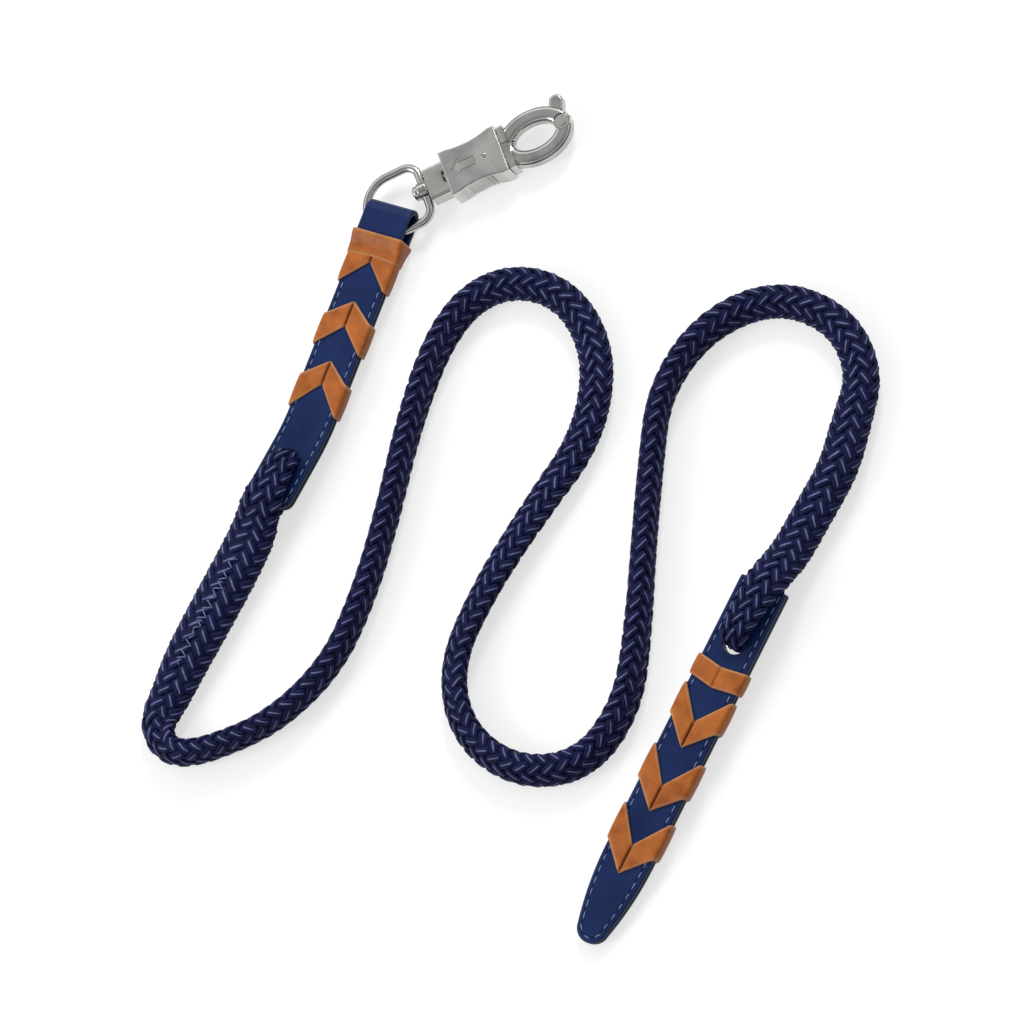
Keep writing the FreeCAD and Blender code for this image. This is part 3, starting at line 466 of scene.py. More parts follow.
def braidPiece():
    s, centre, wide, high, halfWide, halfHigh = ropeRings()
    count, strands = len(s), rope["strands"]
    perHand = strands // 2
    a = halfWide - rope["strandInset"] * mm
    b = halfHigh - rope["strandInset"] * mm
    angles = np.linspace(0, 2 * math.pi, 73)
    hand = np.repeat([1.0, -1.0], perHand)
    start = np.tile(np.arange(perHand) / perHand, 2)
    waves = s[:, None] * rng.uniform(60, 160, strands)
    wobble = 0.004 * np.sin(waves + rng.uniform(0, 6.28, strands))
    share = start + hand * (s[:, None] / mm) / rope["turnLength"] + wobble
    column = strands * share
    rise = np.clip(1.5 * np.cos(2 * math.pi * (column - 0.5) / 4), -1, 1)
    lift = hand * rise * rope["lift"] * mm
    lift = lift + rng.normal(0, 0.05 * mm, (count, strands))
    theta = np.empty((count, strands))
    around = np.empty(count)
    for i in range(count):
        x = a[i] * np.cos(angles)
        y = b[i] * np.sin(angles)
        run = np.concatenate([[0], np.cumsum(np.hypot(np.diff(x), np.diff(y)))])
        around[i] = run[-1]
        theta[i] = np.interp(share[i] % 1.0, run / run[-1], angles)
    cos, sin = np.cos(theta)[..., None], np.sin(theta)[..., None]
    w, h = wide[:, None, :], high[:, None, :]
    out = unit(w * cos / a[:, None, None] + h * sin / b[:, None, None])
    place = centre[:, None, :] + w * cos * a[:, None, None] + h * sin * b[:, None, None]
    place = place + out * lift[..., None]
    along = unit(np.gradient(place, axis=0))
    across = unit(np.cross(along, out))
    up = np.cross(across, along)
    slant = np.cos(np.arctan(around / (rope["turnLength"] * mm)))
    halfStrand = rope["strandFill"] * around / perHand * slant
    waves = s[:, None] * rng.uniform(90, 260, strands)
    jitter = 1 + 0.05 * np.sin(waves + rng.uniform(0, 6.28, strands))
    profile = [(-1, 0), (-0.55, 0.86), (0.55, 0.86), (1, 0), (0.55, -0.86), (-0.55, -0.86)]
    acrossShare = [0.0, 0.26, 0.74, 1.0, 0.74, 0.26]
    sides = len(profile)
    points, uvs, shades, overs, faces = [], [], [], [], []
    tone = rng.uniform(0.1, 1.0, strands)
    for k in range(strands):
        ring = np.stack([
            place[:, k] + across[:, k] * (px * halfStrand * jitter[:, k])[:, None]
            + up[:, k] * (py * rope["strandHalfHigh"] * mm) for px, py in profile
        ], axis=1)
        faces += tubeFaces(count, sides, k * sides * count)
        points.append(ring.reshape(-1, 3))
        u = np.repeat(s / mm + 37.0 * k, sides)
        uvs.append(np.stack([u, np.tile(acrossShare, count)], axis=1))
        drift = 0.5 + 0.5 * np.sin(s * (30 + 9 * k) + k)
        over = 0.5 + 0.5 * np.clip(lift[:, k] / (rope["lift"] * mm), -1, 1)
        overs.append(np.repeat(over, sides))
        shades.append(np.repeat(np.clip(tone[k] * 0.6 + 0.4 * drift, 0, 1), sides))
    piece = makePiece(
        "braidedRope", np.concatenate(points), faces, navyBraid,
        {"shade": np.concatenate(shades), "over": np.concatenate(overs)}, np.concatenate(uvs),
    )
    inner, corners, sides = rope["coreInset"] * mm, [], rope["coreSides"]
    for i in range(count):
        for j in range(sides):
            t = 2 * math.pi * j / sides
            corners.append(
                centre[i] + wide[i] * ((halfWide[i] - inner) * math.cos(t))
                + high[i] * ((halfHigh[i] - inner) * math.sin(t))
            )
    core = makePiece("ropeCore", corners, tubeFaces(count, sides), braidCore)
    return piece, core, (s, centre, wide, high, halfWide, halfHigh)


braided, ropeCore, rings = braidPiece()
print("rope", round(float(rings[0][-1]), 4), "m", len(braided.data.polygons), "faces")


# splice stitching: a fine zigzag worked through the top of the splice
def tubeAlong(points, ups, radius, sides=5):
    ahead = unit(np.gradient(points, axis=0))
    across = unit(np.cross(ahead, ups))
    up = np.cross(across, ahead)
    out = []
    for i in range(len(points)):
        for j in range(sides):
            t = 2 * math.pi * j / sides
            out.append(points[i] + across[i] * (radius * math.cos(t)) + up[i] * (radius * math.sin(t)))
    return out, tubeFaces(len(points), sides, 0, True)


def spliceStitches():
    zig = {
        "runs": 22, "step": 2.8, "halfWide": 2.1, "uneven": 1.0, "thread": 0.34,
        "rise": 0.2, "dip": 1.1, "past": 0.085, "out": 0.054, "parts": 8,
    }
    s, centre, wide, high, halfWide, halfHigh = rings
    out = (centre[:, :2] - np.array(rope["snapHole"])) @ np.array(rope["snapOut"])
    first = s[(s > zig["past"]) & (out > zig["out"])][0]
    points, ups = [], []
    random.seed(11)
    for run in range(zig["runs"]):
        sideFrom = zig["halfWide"] * (1 if run % 2 else -1) + random.uniform(-zig["uneven"], zig["uneven"])
        sideTo = -sideFrom
        for step in range(zig["parts"]):
            f = step / zig["parts"]
            here = first + (run + f) * zig["step"] * mm
            middle = np.array([np.interp(here, s, centre[:, axis]) for axis in range(3)])
            across = unit(np.array([np.interp(here, s, wide[:, axis]) for axis in range(3)]))
            up = unit(np.array([np.interp(here, s, high[:, axis]) for axis in range(3)]))
            up = up if up[2] > 0 else -up
            side = (sideFrom + (sideTo - sideFrom) * f) * mm
            drop = math.sqrt(max(0.0, 1 - (side / np.interp(here, s, halfWide)) ** 2))
            dip = zig["dip"] * (1 - math.sin(math.pi * f)) ** 2
            rise = np.interp(here, s, halfHigh) * drop + (zig["rise"] - dip) * mm
            points.append(middle + across * side + up * rise)
            ups.append(up)
    out, faces = tubeAlong(np.array(points), np.array(ups), zig["thread"] * mm)
    return makePiece("spliceZigzag", out, faces, spliceThread)


spliceZigzag = spliceStitches()


# placement of the two tabs
def placed(local, origin, yaw, pitch):
    cy, sy = math.cos(math.radians(yaw)), math.sin(math.radians(yaw))
    cp, sp = math.cos(math.radians(pitch)), math.sin(math.radians(pitch))
    xAxis = np.array([cp * cy, cp * sy, sp])
    yAxis = np.array([-sy, cy, 0.0])
    zAxis = np.array([-sp * cy, -sp * sy, cp])
    p = np.asarray(local, dtype=float) * mm
    return np.array(origin) + p[:, :1] * xAxis + p[:, 1:2] * yAxis + p[:, 2:3] * zAxis


tail = {"origin": (0.1377092, -0.047367, 0.0135098), "yaw": -119.8, "pitch": -3.07588}
snapTab = {
    "origin": (-0.0584568, 0.1725659, 0.0075), "yaw": -111.5, "pitch": 1.71117,
    "length": 167.5, "loopHalf": 6.45, "loopTo": 17.5, "flatFrom": 27.0, "tabHalf": 3.0,
    "bendFrom": 116.0, "bendLength": 20.0, "bendTurn": -8.5,
    "corner": 6.0, "holeAt": 144.0, "holeWide": 12.9,
}
# each step of the rounded edge is its distance in from the side and down from the face
leather = {
    "thick": 2.95, "half": 13.0, "rowInset": 2.6, "grooveHalf": 0.42, "grooveDeep": 0.38, "grooveLip": 0.22,
    "edgeSteps": [(1.1, 0.0), (0.6, 0.1), (0.25, 0.33), (0.05, 0.7), (0.0, 1.1)],
    "columns": 10, "sharpAngle": 38, "weld": 2e-6,
}


def onTail(local):
    return placed(local, tail["origin"], tail["yaw"], tail["pitch"])


# the snap tab's sideways curve, past which it runs straight
def sideBend(local):
    p = np.array(local, dtype=float)
    total = math.radians(snapTab["bendTurn"])
    radius = snapTab["bendLength"] / total
    past = p[:, 0] - snapTab["bendFrom"]
    angle = np.clip(past / snapTab["bendLength"], 0, 1) * total
    rest = np.maximum(past - snapTab["bendLength"], 0)
    bent = past > 0
    x = snapTab["bendFrom"] + radius * np.sin(angle) - p[:, 1] * np.sin(angle) + rest * np.cos(angle)
    y = radius * (1 - np.cos(angle)) + p[:, 1] * np.cos(angle) + rest * np.sin(angle)
    p[:, 0] = np.where(bent, x, p[:, 0])
    p[:, 1] = np.where(bent, y, p[:, 1])
    return p


def onSnap(local):
    return placed(sideBend(local), snapTab["origin"], snapTab["yaw"], snapTab["pitch"])


# half height of the snap tab at a distance from its fold
def outsideHalf(x):
    f = np.clip((np.asarray(x) - snapTab["loopTo"]) / (snapTab["flatFrom"] - snapTab["loopTo"]), 0, 1)
    ease = f * f * (3 - 2 * f)
    return snapTab["loopHalf"] + (snapTab["tabHalf"] - snapTab["loopHalf"]) * ease


# leather plates, drawn in by rings from their outline
def cornerArc(radius, steps, atStart, length, half):
    rows = []
    for i in range(steps + 1):
        t = math.radians(90 * i / steps)
        if atStart:
            rows.append(("corner", radius, half - radius, -math.cos(t), math.sin(t), radius))
        else:
            rows.append(("corner", length - radius, half - radius, math.sin(t), math.cos(t), radius))
    return rows


def sidePlace(row, q):
    kind, x, y, nx, ny, radius = row
    if kind == "corner":
        grow = max(q - radius, 0)
        keep = max(radius - q, 0)
        sign = 1 if nx <= 0 and x < 20 else -1
        return x + sign * grow + nx * keep, y - grow + ny * keep
    return x - nx * q, y - ny * q


# closed plate in flat coordinates, as points, faces and its edge and crest masks
def plate(rows, length):
    thick, columns, inset = leather["thick"], leather["columns"], leather["rowInset"]
    deep, wideHalf, steps = leather["grooveDeep"], leather["grooveHalf"], leather["edgeSteps"]
    within, lip, bottom = inset + 1.1, wideHalf + leather["grooveLip"], wideHalf * 0.7
    courses = [(within, thick), (inset + lip, thick)]
    courses += [(inset + bottom, thick - deep), (inset - bottom, thick - deep), (inset - lip, thick)]
    courses += [(q, thick - down) for q, down in steps]
    courses += [(q, down) for q, down in steps[::-1]]
    courses += [(within, 0.0)]
    last = len(rows) - 1
    loop = [(i, 1.0) for i in range(last + 1)]
    loop += [(last, 1 - 2 * j / columns) for j in range(1, columns)]
    loop += [(i, -1.0) for i in range(last, -1, -1)]
    loop += [(0, -1 + 2 * j / columns) for j in range(1, columns)]

    def spotsAt(q):
        spots = [sidePlace(row, q) for row in rows]
        return [(min(max(x, q), length - q), max(y, 0.0)) for x, y in spots]

    points, edge, crest, faces = [], [], [], []
    for q, z in courses:
        spots = spotsAt(q)
        for i, sign in loop:
            points.append((spots[i][0], spots[i][1] * sign, z))
            edge.append(1.0 if q < 0.3 else 0.0)
            crest.append(1.0 if 0.2 < q < 0.9 else 0.0)
    size = len(loop)
    for r in range(len(courses) - 1):
        for i in range(size):
            n = (i + 1) % size
            faces.append((r * size + i, (r + 1) * size + i, (r + 1) * size + n, r * size + n))
    for topSide in (True, False):
        q, z = courses[0] if topSide else courses[-1]
        spots = spotsAt(q)
        base = len(points)
        for i in range(last + 1):
            for j in range(columns + 1):
                points.append((spots[i][0], spots[i][1] * (1 - 2 * j / columns), z))
                edge.append(0.0)
                crest.append(0.0)
        for i in range(last):
            for j in range(columns):
                a = base + i * (columns + 1) + j
                quad = (a, a + 1, a + columns + 2, a + columns + 1)
                faces.append(quad if topSide else quad[::-1])
    return np.array(points), faces, np.array(edge), np.array(crest)


tailTab = {
    "length": 194.0, "tip": 46.0, "tipRound": 8.0, "bulge": 1.2, "corner": 1.2,
    "layerGap": 0.05, "holeAt": 30.9, "holeLength": 13.6, "holeWide": 13.4,
}


def tailRows():
    half, bulge = leather["half"], tailTab["bulge"]
    far, r = tailTab["length"], tailTab["tipRound"]
    shoulder, centre = far - tailTab["tip"], far - r
    lift = math.asin((half - r) / (centre - shoulder))
    tx, ty = centre + r * math.sin(lift), r * math.cos(lift)
    rows = cornerArc(tailTab["corner"], 3, True, far, half)
    rows += [("run", x, half, 0.0, 1.0, 0) for x in np.linspace(4.0, shoulder - 2, 58)]
    length = math.hypot(tx - shoulder, ty - half)
    nx, ny = (half - ty) / length, (tx - shoulder) / length
    for i in range(15):
        f = i / 15
        bow = bulge * 4 * f * (1 - f)
        slope = bulge * 4 * (1 - 2 * f) / length
        n = unit(np.array([nx - slope * ny, ny + slope * nx]))
        x = shoulder + (tx - shoulder) * f + nx * bow
        y = half + (ty - half) * f + ny * bow
        rows.append(("run", x, y, n[0], n[1], 0))
    for i in range(13):
        t = lift + (math.pi / 2 - lift) * i / 12
        rows.append(("run", centre + r * math.sin(t), r * math.cos(t), math.sin(t), math.cos(t), 0))
    return rows


# cuts a straight-sided opening of a given outline through a piece
def drill(piece, points, place, depth):
    count = len(points)
    flat = np.array([(x, y, z) for z in (-depth, depth) for x, y in points])
    faces = [tuple(range(count - 1, -1, -1)), tuple(range(count, 2 * count))]
    faces += [(i, (i + 1) % count, count + (i + 1) % count, count + i) for i in range(count)]
    cutter = makePiece("cutter", place(flat), faces, navyLeather)
    tidyMesh(cutter, 1e-7)
    cut = piece.modifiers.new("opening", "BOOLEAN")
    cut.operation = "DIFFERENCE"
    cut.solver = "EXACT"
    cut.object = cutter
    bpy.context.view_layer.update()
    made = bpy.data.meshes.new_from_object(piece.evaluated_get(bpy.context.evaluated_depsgraph_get()))
    piece.modifiers.remove(cut)
    old = piece.data
    piece.data = made
    bpy.data.meshes.remove(old)
    gone = cutter.data
    bpy.data.objects.remove(cutter)
    bpy.data.meshes.remove(gone)


def slotOutline(x, length, width):
    r = width / 2
    reach = max(length / 2 - r, 0)
    points = []
    for i in range(32):
        t = 2 * math.pi * (i + 0.5) / 32
        c, s = math.cos(t), math.sin(t)
        points.append((x + (reach if c > 0 else -reach) + r * c, r * s))
    return points


tailPlates = []
tailHole = slotOutline(tailTab["holeAt"], tailTab["holeLength"], tailTab["holeWide"])
for name, side in (("tailUpperLeather", 1), ("tailLowerLeather", -1)):
    pts, faces, edge, crest = plate(tailRows(), tailTab["length"])
    pts = pts * np.array([1, 1, side]) + np.array([0, 0, side * tailTab["layerGap"]])
    made = makePiece(name, onTail(pts), faces, navyLeather, {"edge": edge, "crest": crest})
    tidyMesh(made, leather["weld"])
    drill(made, tailHole, onTail, 8.0)
    made.data.set_sharp_from_angle(angle=math.radians(leather["sharpAngle"]))
    tailPlates.append(made)
print("tail leather made")


# developed distance along the strap and height over its middle, to the tab's own frame
def strapPath(u, lift):
    middle = snapTab["loopHalf"] - leather["thick"] / 2
    straight = snapTab["length"] - snapTab["loopHalf"]
    turn = math.pi * middle
    x = np.where(u < straight, snapTab["length"] - u, 0.0)
    back = u > straight + turn
    x = np.where(back, snapTab["loopHalf"] + u - straight - turn, x)
    angle = np.clip((u - straight) / middle, 0, math.pi)
    onFold = (u >= straight) & ~back
    reach = outsideHalf(x) - leather["thick"] / 2 + lift
    slope = (outsideHalf(x + 0.05) - outsideHalf(x - 0.05)) / 0.1
    z = np.where(back, -reach, reach)
    xs = x - slope * lift
    xs = np.where(onFold, snapTab["loopHalf"] - np.sin(angle) * (middle + lift), xs)
    z = np.where(onFold, np.cos(angle) * (middle + lift), z)
    return xs, z


def snapStrap():
    grid = {"ends": 8.0, "coarse": 2.6, "fold": 32, "fine": 0.9, "bareTo": 46}
    half, thick = leather["half"], leather["thick"]
    middle = snapTab["loopHalf"] - thick / 2
    total = 2 * (snapTab["length"] - snapTab["loopHalf"]) + math.pi * middle
    mid = total / 2
    rows = cornerArc(snapTab["corner"], 7, True, total, half)
    runs = np.concatenate([
        np.arange(grid["ends"], mid - grid["fold"], grid["coarse"]),
        np.arange(mid - grid["fold"], mid + grid["fold"], grid["fine"]),
        np.arange(mid + grid["fold"], total - grid["ends"], grid["coarse"]),
    ])
    rows += [("run", x, half, 0.0, 1.0, 0) for x in runs]
    rows += cornerArc(snapTab["corner"], 7, False, total, half)
    pts, faces, edge, crest = plate(rows, total)
    fromFold = np.abs(pts[:, 0] - mid)
    grooved = (pts[:, 2] > 2.0) & (pts[:, 2] < 2.94) & (half - np.abs(pts[:, 1]) > 1.6)
    pts[grooved & (fromFold < grid["bareTo"]), 2] = thick
    x, z = strapPath(pts[:, 0], pts[:, 2] - thick / 2)
    local = np.stack([x, pts[:, 1], z], axis=1)
    made = makePiece("snapStrap", onSnap(local), faces, navyLeather, {"edge": edge, "crest": crest})
    tidyMesh(made, leather["weld"])
    drill(made, slotOutline(snapTab["holeAt"], snapTab["holeWide"], snapTab["holeWide"]), onSnap, 9.0)
    made.data.set_sharp_from_angle(angle=math.radians(leather["sharpAngle"]))
    return made


strap = snapStrap()
print("snap strap made", len(strap.data.polygons))


# laces: flat leather thongs round the tabs, tucked through at the middle
thong = {"clear": 0.15, "high": 3.15, "corner": 0.9, "tuckWide": 0.6, "shadeWide": 0.62, "parting": 0.02}


def lacePath(half, high, tuck):
    steps, r = [], thong["corner"]
    for y in (0.0, 0.2, 0.45, 0.8, 1.3, 2.2, 4.0, 6.0, 8.0, 10.0, 11.4, half - r):
        steps.append((y, high - tuck * math.exp(-(y / thong["tuckWide"]) ** 2), 0.0, 1.0))
    for i in range(1, 6):
        t = math.radians(90 * i / 5)
        across, up = math.sin(t), math.cos(t)
        steps.append((half - r + r * across, high - r + r * up, across, up))
    steps.append((half + 0.12, high * 0.3, 1.0, 0.0))
    lower = [(y, -z, ny, -nz) for y, z, ny, nz in steps[::-1]]
    return steps + [(half + 0.16, 0.0, 1.0, 0.0)] + lower


# both halves of one lace as one piece, each from the top's middle to the bottom's
def laceHalves(name, lace, place, swell, lift=0.0, tuck=1.0, crown=1.3):
    profile = [
        (0.0, 0.02, 0.3), (-0.006, 0.5, 1.0), (0.012, 0.82, 0.9), (0.045, 1.02, 0.6), (0.13, 1.12, 0.0),
        (0.3, 1.22, 0.0), (0.5, 1.26, 0.0), (0.7, 1.22, 0.0), (0.87, 1.12, 0.0), (0.955, 1.02, 0.6),
        (0.988, 0.82, 0.9), (1.006, 0.5, 1.0), (1.0, 0.02, 0.3),
    ]
    half = leather["half"] + thong["clear"]
    high = thong["high"] + lift
    points, faces, paintedTuckShade, cutMask = [], [], [], []
    c0, c1, e0, e1 = lace
    for side in (1, -1):
        base = len(points)
        path = lacePath(half + lift, high, tuck)
        for y, z, ny, nz in path:
            f = min(y / leather["half"], 1.0)
            x0 = c0 + (e0 - c0) * f
            x1 = c1 + (e1 - c1) * f
            # painted shade mask, strongest at the middle where the lace dives through, stored as the tuck
            # attribute
            tuckShadeLevel = math.exp(-(y / thong["shadeWide"]) ** 2) * min(tuck, 1.0) if nz != 0 else 0.0
            for share, rise, cut in profile:
                x = x0 + (x1 - x0) * share
                h = rise * crown / 1.26
                py = y + ny * h
                pz = z + nz * h
                points.append((x, (py + thong["parting"]) * side, pz))
                paintedTuckShade.append(tuckShadeLevel)
                cutMask.append(cut)
        faces += tubeFaces(len(path), len(profile), base, side < 0)
    local = np.array(points)
    if swell:
        grow = outsideHalf(local[:, 0]) - snapTab["tabHalf"]
        local[:, 2] = local[:, 2] + grow * np.clip(local[:, 2] / thong["high"], -1, 1)
    made = makePiece(name, place(local), faces, tanLace, {"tuck": paintedTuckShade, "cut": cutMask})
    mesh = bmesh.new()
    mesh.from_mesh(made.data)
    bmesh.ops.recalc_face_normals(mesh, faces=mesh.faces)
    mesh.to_mesh(made.data)
    mesh.free()
    made.data.set_sharp_from_angle(angle=math.radians(50))
    return made


laces = {
    "snap_lace_collar": [
        laceHalves("collarChevron", (23.0, 33.0, 29.0, 46.5), onSnap, True),
        laceHalves("collarBand", (18.5, 30.2, 18.5, 31.0), onSnap, True, 0.55, 0.06, 1.15),
    ],
    "snap_lace_chevron_a": [laceHalves("snapChevronA", (54.8, 68.8, 64.6, 81.6), onSnap, False)],
    "snap_lace_chevron_b": [laceHalves("snapChevronB", (87.9, 100.9, 98.3, 115.9), onSnap, False)],
    "tail_lace_band": [laceHalves("tailBand", (45.4, 56.5, 43.5, 54.5), onTail, False, 0.0, 0.5)],
    "tail_lace_chevron_1": [laceHalves("tailChevron1", (74.9, 89.2, 59.0, 76.0), onTail, False)],
    "tail_lace_chevron_2": [laceHalves("tailChevron2", (109.5, 123.4, 92.4, 110.8), onTail, False)],
    "tail_lace_chevron_3": [laceHalves("tailChevron3", (141.8, 157.1, 124.7, 143.9), onTail, False)],
}
print("laces made")


# stitches, set along their rows by geometry nodes
def stitchTree():
    tree = bpy.data.node_groups.new("stitchRow", "GeometryNodeTree")
    ids = {}
    tree.interface.new_socket("Geometry", in_out="INPUT", socket_type="NodeSocketGeometry")
    kinds = {"Pitch": "Float", "Dash": "Float", "Thread": "Float", "Seed": "Int", "Material": "Material"}
    for name, kind in kinds.items():
        made = tree.interface.new_socket(name, in_out="INPUT", socket_type="NodeSocket" + kind)
        ids[name] = made.identifier
    tree.interface.new_socket("Geometry", in_out="OUTPUT", socket_type="NodeSocketGeometry")
    new, link = tree.nodes.new, tree.links.new
    source, target = new("NodeGroupInput"), new("NodeGroupOutput")
    toCurve = new("GeometryNodeMeshToCurve")
    link(source.outputs["Geometry"], toCurve.inputs[0])
    spread = new("GeometryNodeResampleCurve")
    spread.mode = "LENGTH"
    link(toCurve.outputs[0], spread.inputs["Curve"])
    link(source.outputs["Pitch"], spread.inputs["Length"])
    ball = new("GeometryNodeMeshUVSphere")
    ball.inputs["Segments"].default_value = 8
    ball.inputs["Rings"].default_value = 6
    ball.inputs["Radius"].default_value = 1.0
    tangent = new("GeometryNodeInputTangent")
    align = new("FunctionNodeAlignRotationToVector")
    align.axis = "X"
    link(tangent.outputs[0], align.inputs["Vector"])
    sway = new("FunctionNodeRandomValue")
    sway.data_type = "FLOAT"
    sway.inputs[2].default_value = 0.88
    sway.inputs[3].default_value = 1.1
    link(source.outputs["Seed"], sway.inputs["Seed"])
    halfDash = new("ShaderNodeMath")
    halfDash.operation = "MULTIPLY"
    link(source.outputs["Dash"], halfDash.inputs[0])
    halfDash.inputs[1].default_value = 0.5
    long = new("ShaderNodeMath")
    long.operation = "MULTIPLY"
    link(halfDash.outputs[0], long.inputs[0])
    link(sway.outputs[1], long.inputs[1])
    scale = new("ShaderNodeCombineXYZ")
    link(long.outputs[0], scale.inputs[0])
    link(source.outputs["Thread"], scale.inputs[1])
    link(source.outputs["Thread"], scale.inputs[2])
    put = new("GeometryNodeInstanceOnPoints")
    link(spread.outputs[0], put.inputs["Points"])
    link(ball.outputs["Mesh"], put.inputs["Instance"])
    link(align.outputs[0], put.inputs["Rotation"])
    link(scale.outputs[0], put.inputs["Scale"])
    real = new("GeometryNodeRealizeInstances")
    link(put.outputs[0], real.inputs[0])
    dress = new("GeometryNodeSetMaterial")
    link(real.outputs[0], dress.inputs["Geometry"])
    link(source.outputs["Material"], dress.inputs["Material"])
    link(dress.outputs[0], target.inputs[0])
    return tree, ids


stitchGroup, stitchIds = stitchTree()


def stitchPiece(name, rows, pitch, dash, thread, seed):
    points, edges = [], []
    for row in rows:
        base = len(points)
        points += [tuple(p) for p in row]
        edges += [(base + i, base + i + 1) for i in range(len(row) - 1)]
    mesh = bpy.data.meshes.new(name)
    mesh.from_pydata(points, edges, [])
    piece = bpy.data.objects.new(name, mesh)
    scene.collection.objects.link(piece)
    work = piece.modifiers.new("stitches", "NODES")
    work.node_group = stitchGroup
    values = {"Pitch": pitch * mm, "Dash": dash * mm, "Thread": thread * mm, "Seed": seed}
    values["Material"] = paleThread
    for key, value in values.items():
        work[stitchIds[key]] = value
    bpy.context.view_layer.update()
    made = bpy.data.meshes.new_from_object(piece.evaluated_get(bpy.context.evaluated_depsgraph_get()))
    piece.modifiers.remove(work)
    piece.data = made
    bpy.data.meshes.remove(mesh)
    made.polygons.foreach_set("use_smooth", np.ones(len(made.polygons), dtype=bool))
    return piece


def tailRowLine(height):
    one = [sidePlace(row, leather["rowInset"]) for row in tailRows()]
    one = [(x, y, height) for x, y in one if x > 3.4]
    other = [(x, -y, z) for x, y, z in one[::-1]]
    return onTail(np.array(one + other[1:]))


overGroove, threadHalf = 0.26, 0.31
rowHigh = leather["thick"] + tailTab["layerGap"] - leather["grooveDeep"] + overGroove
tailLines = [tailRowLine(rowHigh), tailRowLine(-rowHigh)]
tailStitches = stitchPiece("tailStitches", tailLines, 5.9, 4.0, threadHalf, 3)
snapRows = []
for height in (rowHigh, -rowHigh):
    for sign in (1, -1):
        xs = np.arange(48.5, 163.0, 1.0)
        y = sign * (leather["half"] - leather["rowInset"])
        snapRows.append(onSnap(np.array([(x, y, height) for x in xs])))
snapStitches = stitchPiece("snapStitches", snapRows, 5.3, 3.8, threadHalf, 5)
print("stitches made")

# metal keeps its CAD shape
metals = {name: castNickel for name in (
    "swivel_eye", "swivel_rivet", "snap_body", "release_arm", "hinge_pin", "sleeve_pin",
)}
metals["release_sleeve"] = brushedNickel
metals["return_spring"] = springWire
for name, metal in metals.items():
    for materialSlot in nodes[name].material_slots:
        materialSlot.material = metal

# what each piece stands for
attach(braided, "lead")
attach(ropeCore, "lead")
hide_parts("rope", "snap_splice", "tail_splice", "snap_rope_eye", "tail_rope_eye")
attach(spliceZigzag, "lead")
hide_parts("snap_splice_stitching")
leatherNodes = ("tail_upper_leather", "tail_lower_leather", "snap_strap")
for piece, node in zip(tailPlates + [strap], leatherNodes):
    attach(piece, "lead")
    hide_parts(node)
for node, made in laces.items():
    for piece in made:
        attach(piece, "lead")
    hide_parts(node)
for piece, node in ((tailStitches, "tail_tab_stitching"), (snapStitches, "snap_tab_stitching")):
    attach(piece, "lead")
    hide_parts(node)

# floor, world and lamps
floorMesh = bpy.data.meshes.new("floor")
floorHalf, floorLevel = 6, -0.0002
corners = [(x * floorHalf, y * floorHalf, floorLevel) for x, y in ((-1, -1), (1, -1), (1, 1), (-1, 1))]
floorMesh.from_pydata(corners, [], [(0, 1, 2, 3)])
floor = bpy.data.objects.new("floor", floorMesh)
scene.collection.objects.link(floor)
floorMat = bpy.data.materials.new("floorWhite")
floorMat.use_nodes = True
tree = floorMat.node_tree
tree.nodes.clear()
out = tree.nodes.new("ShaderNodeOutputMaterial")
matt = tree.nodes.new("ShaderNodeBsdfDiffuse")
matt.inputs["Color"].default_value = (0.45, 0.45, 0.45, 1)
glow = tree.nodes.new("ShaderNodeEmission")
rays = tree.nodes.new("ShaderNodeLightPath")
seen = calc(tree, "MAXIMUM", rays.outputs["Is Camera Ray"], rays.outputs["Is Glossy Ray"])
seen = calc(tree, "MAXIMUM", seen, rays.outputs["Is Transmission Ray"])
tree.links.new(calc(tree, "MULTIPLY", seen, 0.62), glow.inputs["Strength"])
both = tree.nodes.new("ShaderNodeAddShader")
tree.links.new(matt.outputs[0], both.inputs[0])
tree.links.new(glow.outputs[0], both.inputs[1])
tree.links.new(both.outputs[0], out.inputs[0])
floorMesh.materials.append(floorMat)

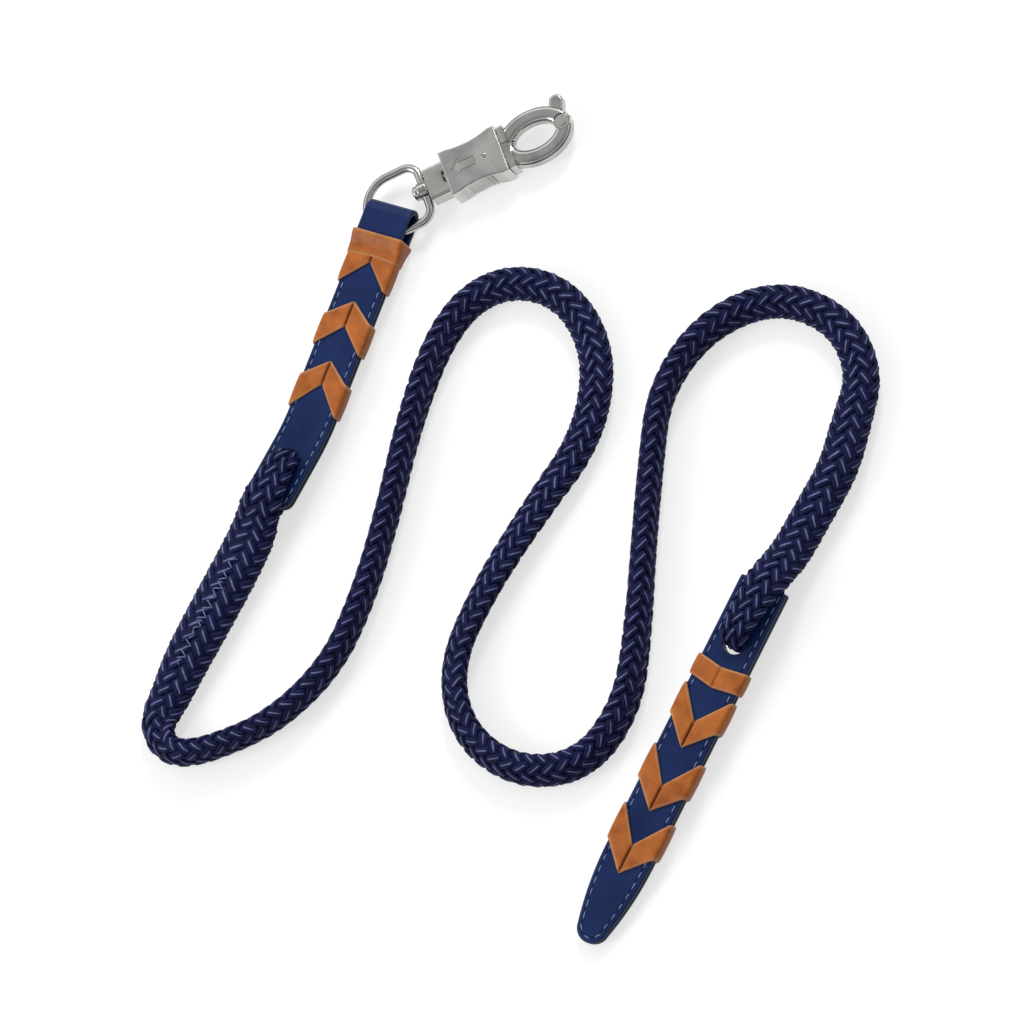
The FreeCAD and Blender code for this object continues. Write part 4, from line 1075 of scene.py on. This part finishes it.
world = bpy.data.worlds.new("studio")
scene.world = world
world.use_nodes = True
tree = world.node_tree
tree.nodes.clear()
out = tree.nodes.new("ShaderNodeOutputWorld")
sky = tree.nodes.new("ShaderNodeBackground")
where = tree.nodes.new("ShaderNodeTexCoord").outputs["Generated"]
axes = tree.nodes.new("ShaderNodeSeparateXYZ")
tree.links.new(where, axes.inputs[0])
ramp = tree.nodes.new("ShaderNodeValToRGB")
ramp.color_ramp.elements[0].position = 0.0
ramp.color_ramp.elements[0].color = (0.12, 0.12, 0.12, 1)
ramp.color_ramp.elements[1].position = 1.0
ramp.color_ramp.elements[1].color = (0.42, 0.42, 0.43, 1)
for position, level in ((0.18, 0.1), (0.4, 0.6), (0.55, 1.35), (0.68, 1.2), (0.82, 0.5)):
    element = ramp.color_ramp.elements.new(position)
    element.color = (level, level, level, 1)
tree.links.new(axes.outputs[2], ramp.inputs[0])
sideways = calc(tree, "MULTIPLY_ADD", axes.outputs[0], -0.7, axes.outputs[1])
drift = ranged(tree, sideways, -1.2, 1.2, 0.45, 1.45)
tree.links.new(blendColour(tree, 1.0, ramp.outputs[0], drift, "MULTIPLY"), sky.inputs["Color"])
sky.inputs["Strength"].default_value = 0.9
white = tree.nodes.new("ShaderNodeBackground")
white.inputs["Color"].default_value = (1, 1, 1, 1)
rays = tree.nodes.new("ShaderNodeLightPath")
pick = tree.nodes.new("ShaderNodeMixShader")
tree.links.new(rays.outputs["Is Camera Ray"], pick.inputs[0])
tree.links.new(sky.outputs[0], pick.inputs[1])
tree.links.new(white.outputs[0], pick.inputs[2])
tree.links.new(pick.outputs[0], out.inputs[0])


def areaLamp(name, place, aim, size, power):
    data = bpy.data.lights.new(name, "AREA")
    data.shape = "DISK"
    data.size = size
    data.energy = power
    lamp = bpy.data.objects.new(name, data)
    scene.collection.objects.link(lamp)
    lamp.location = place
    way = np.array(aim) - np.array(place)
    pitch = math.atan2(math.hypot(way[0], way[1]), -way[2])
    lamp.rotation_euler = (pitch, 0.0, math.atan2(way[1], way[0]) - math.pi / 2)


areaLamp("key", (0.45, 1.6, 1.15), (0, 0, 0), 0.5, 17.0)
areaLamp("fill", (-1.5, -0.5, 1.2), (0, 0, 0), 0.9, 12.0)
scene.view_settings.view_transform = "Standard"
print("studio made")
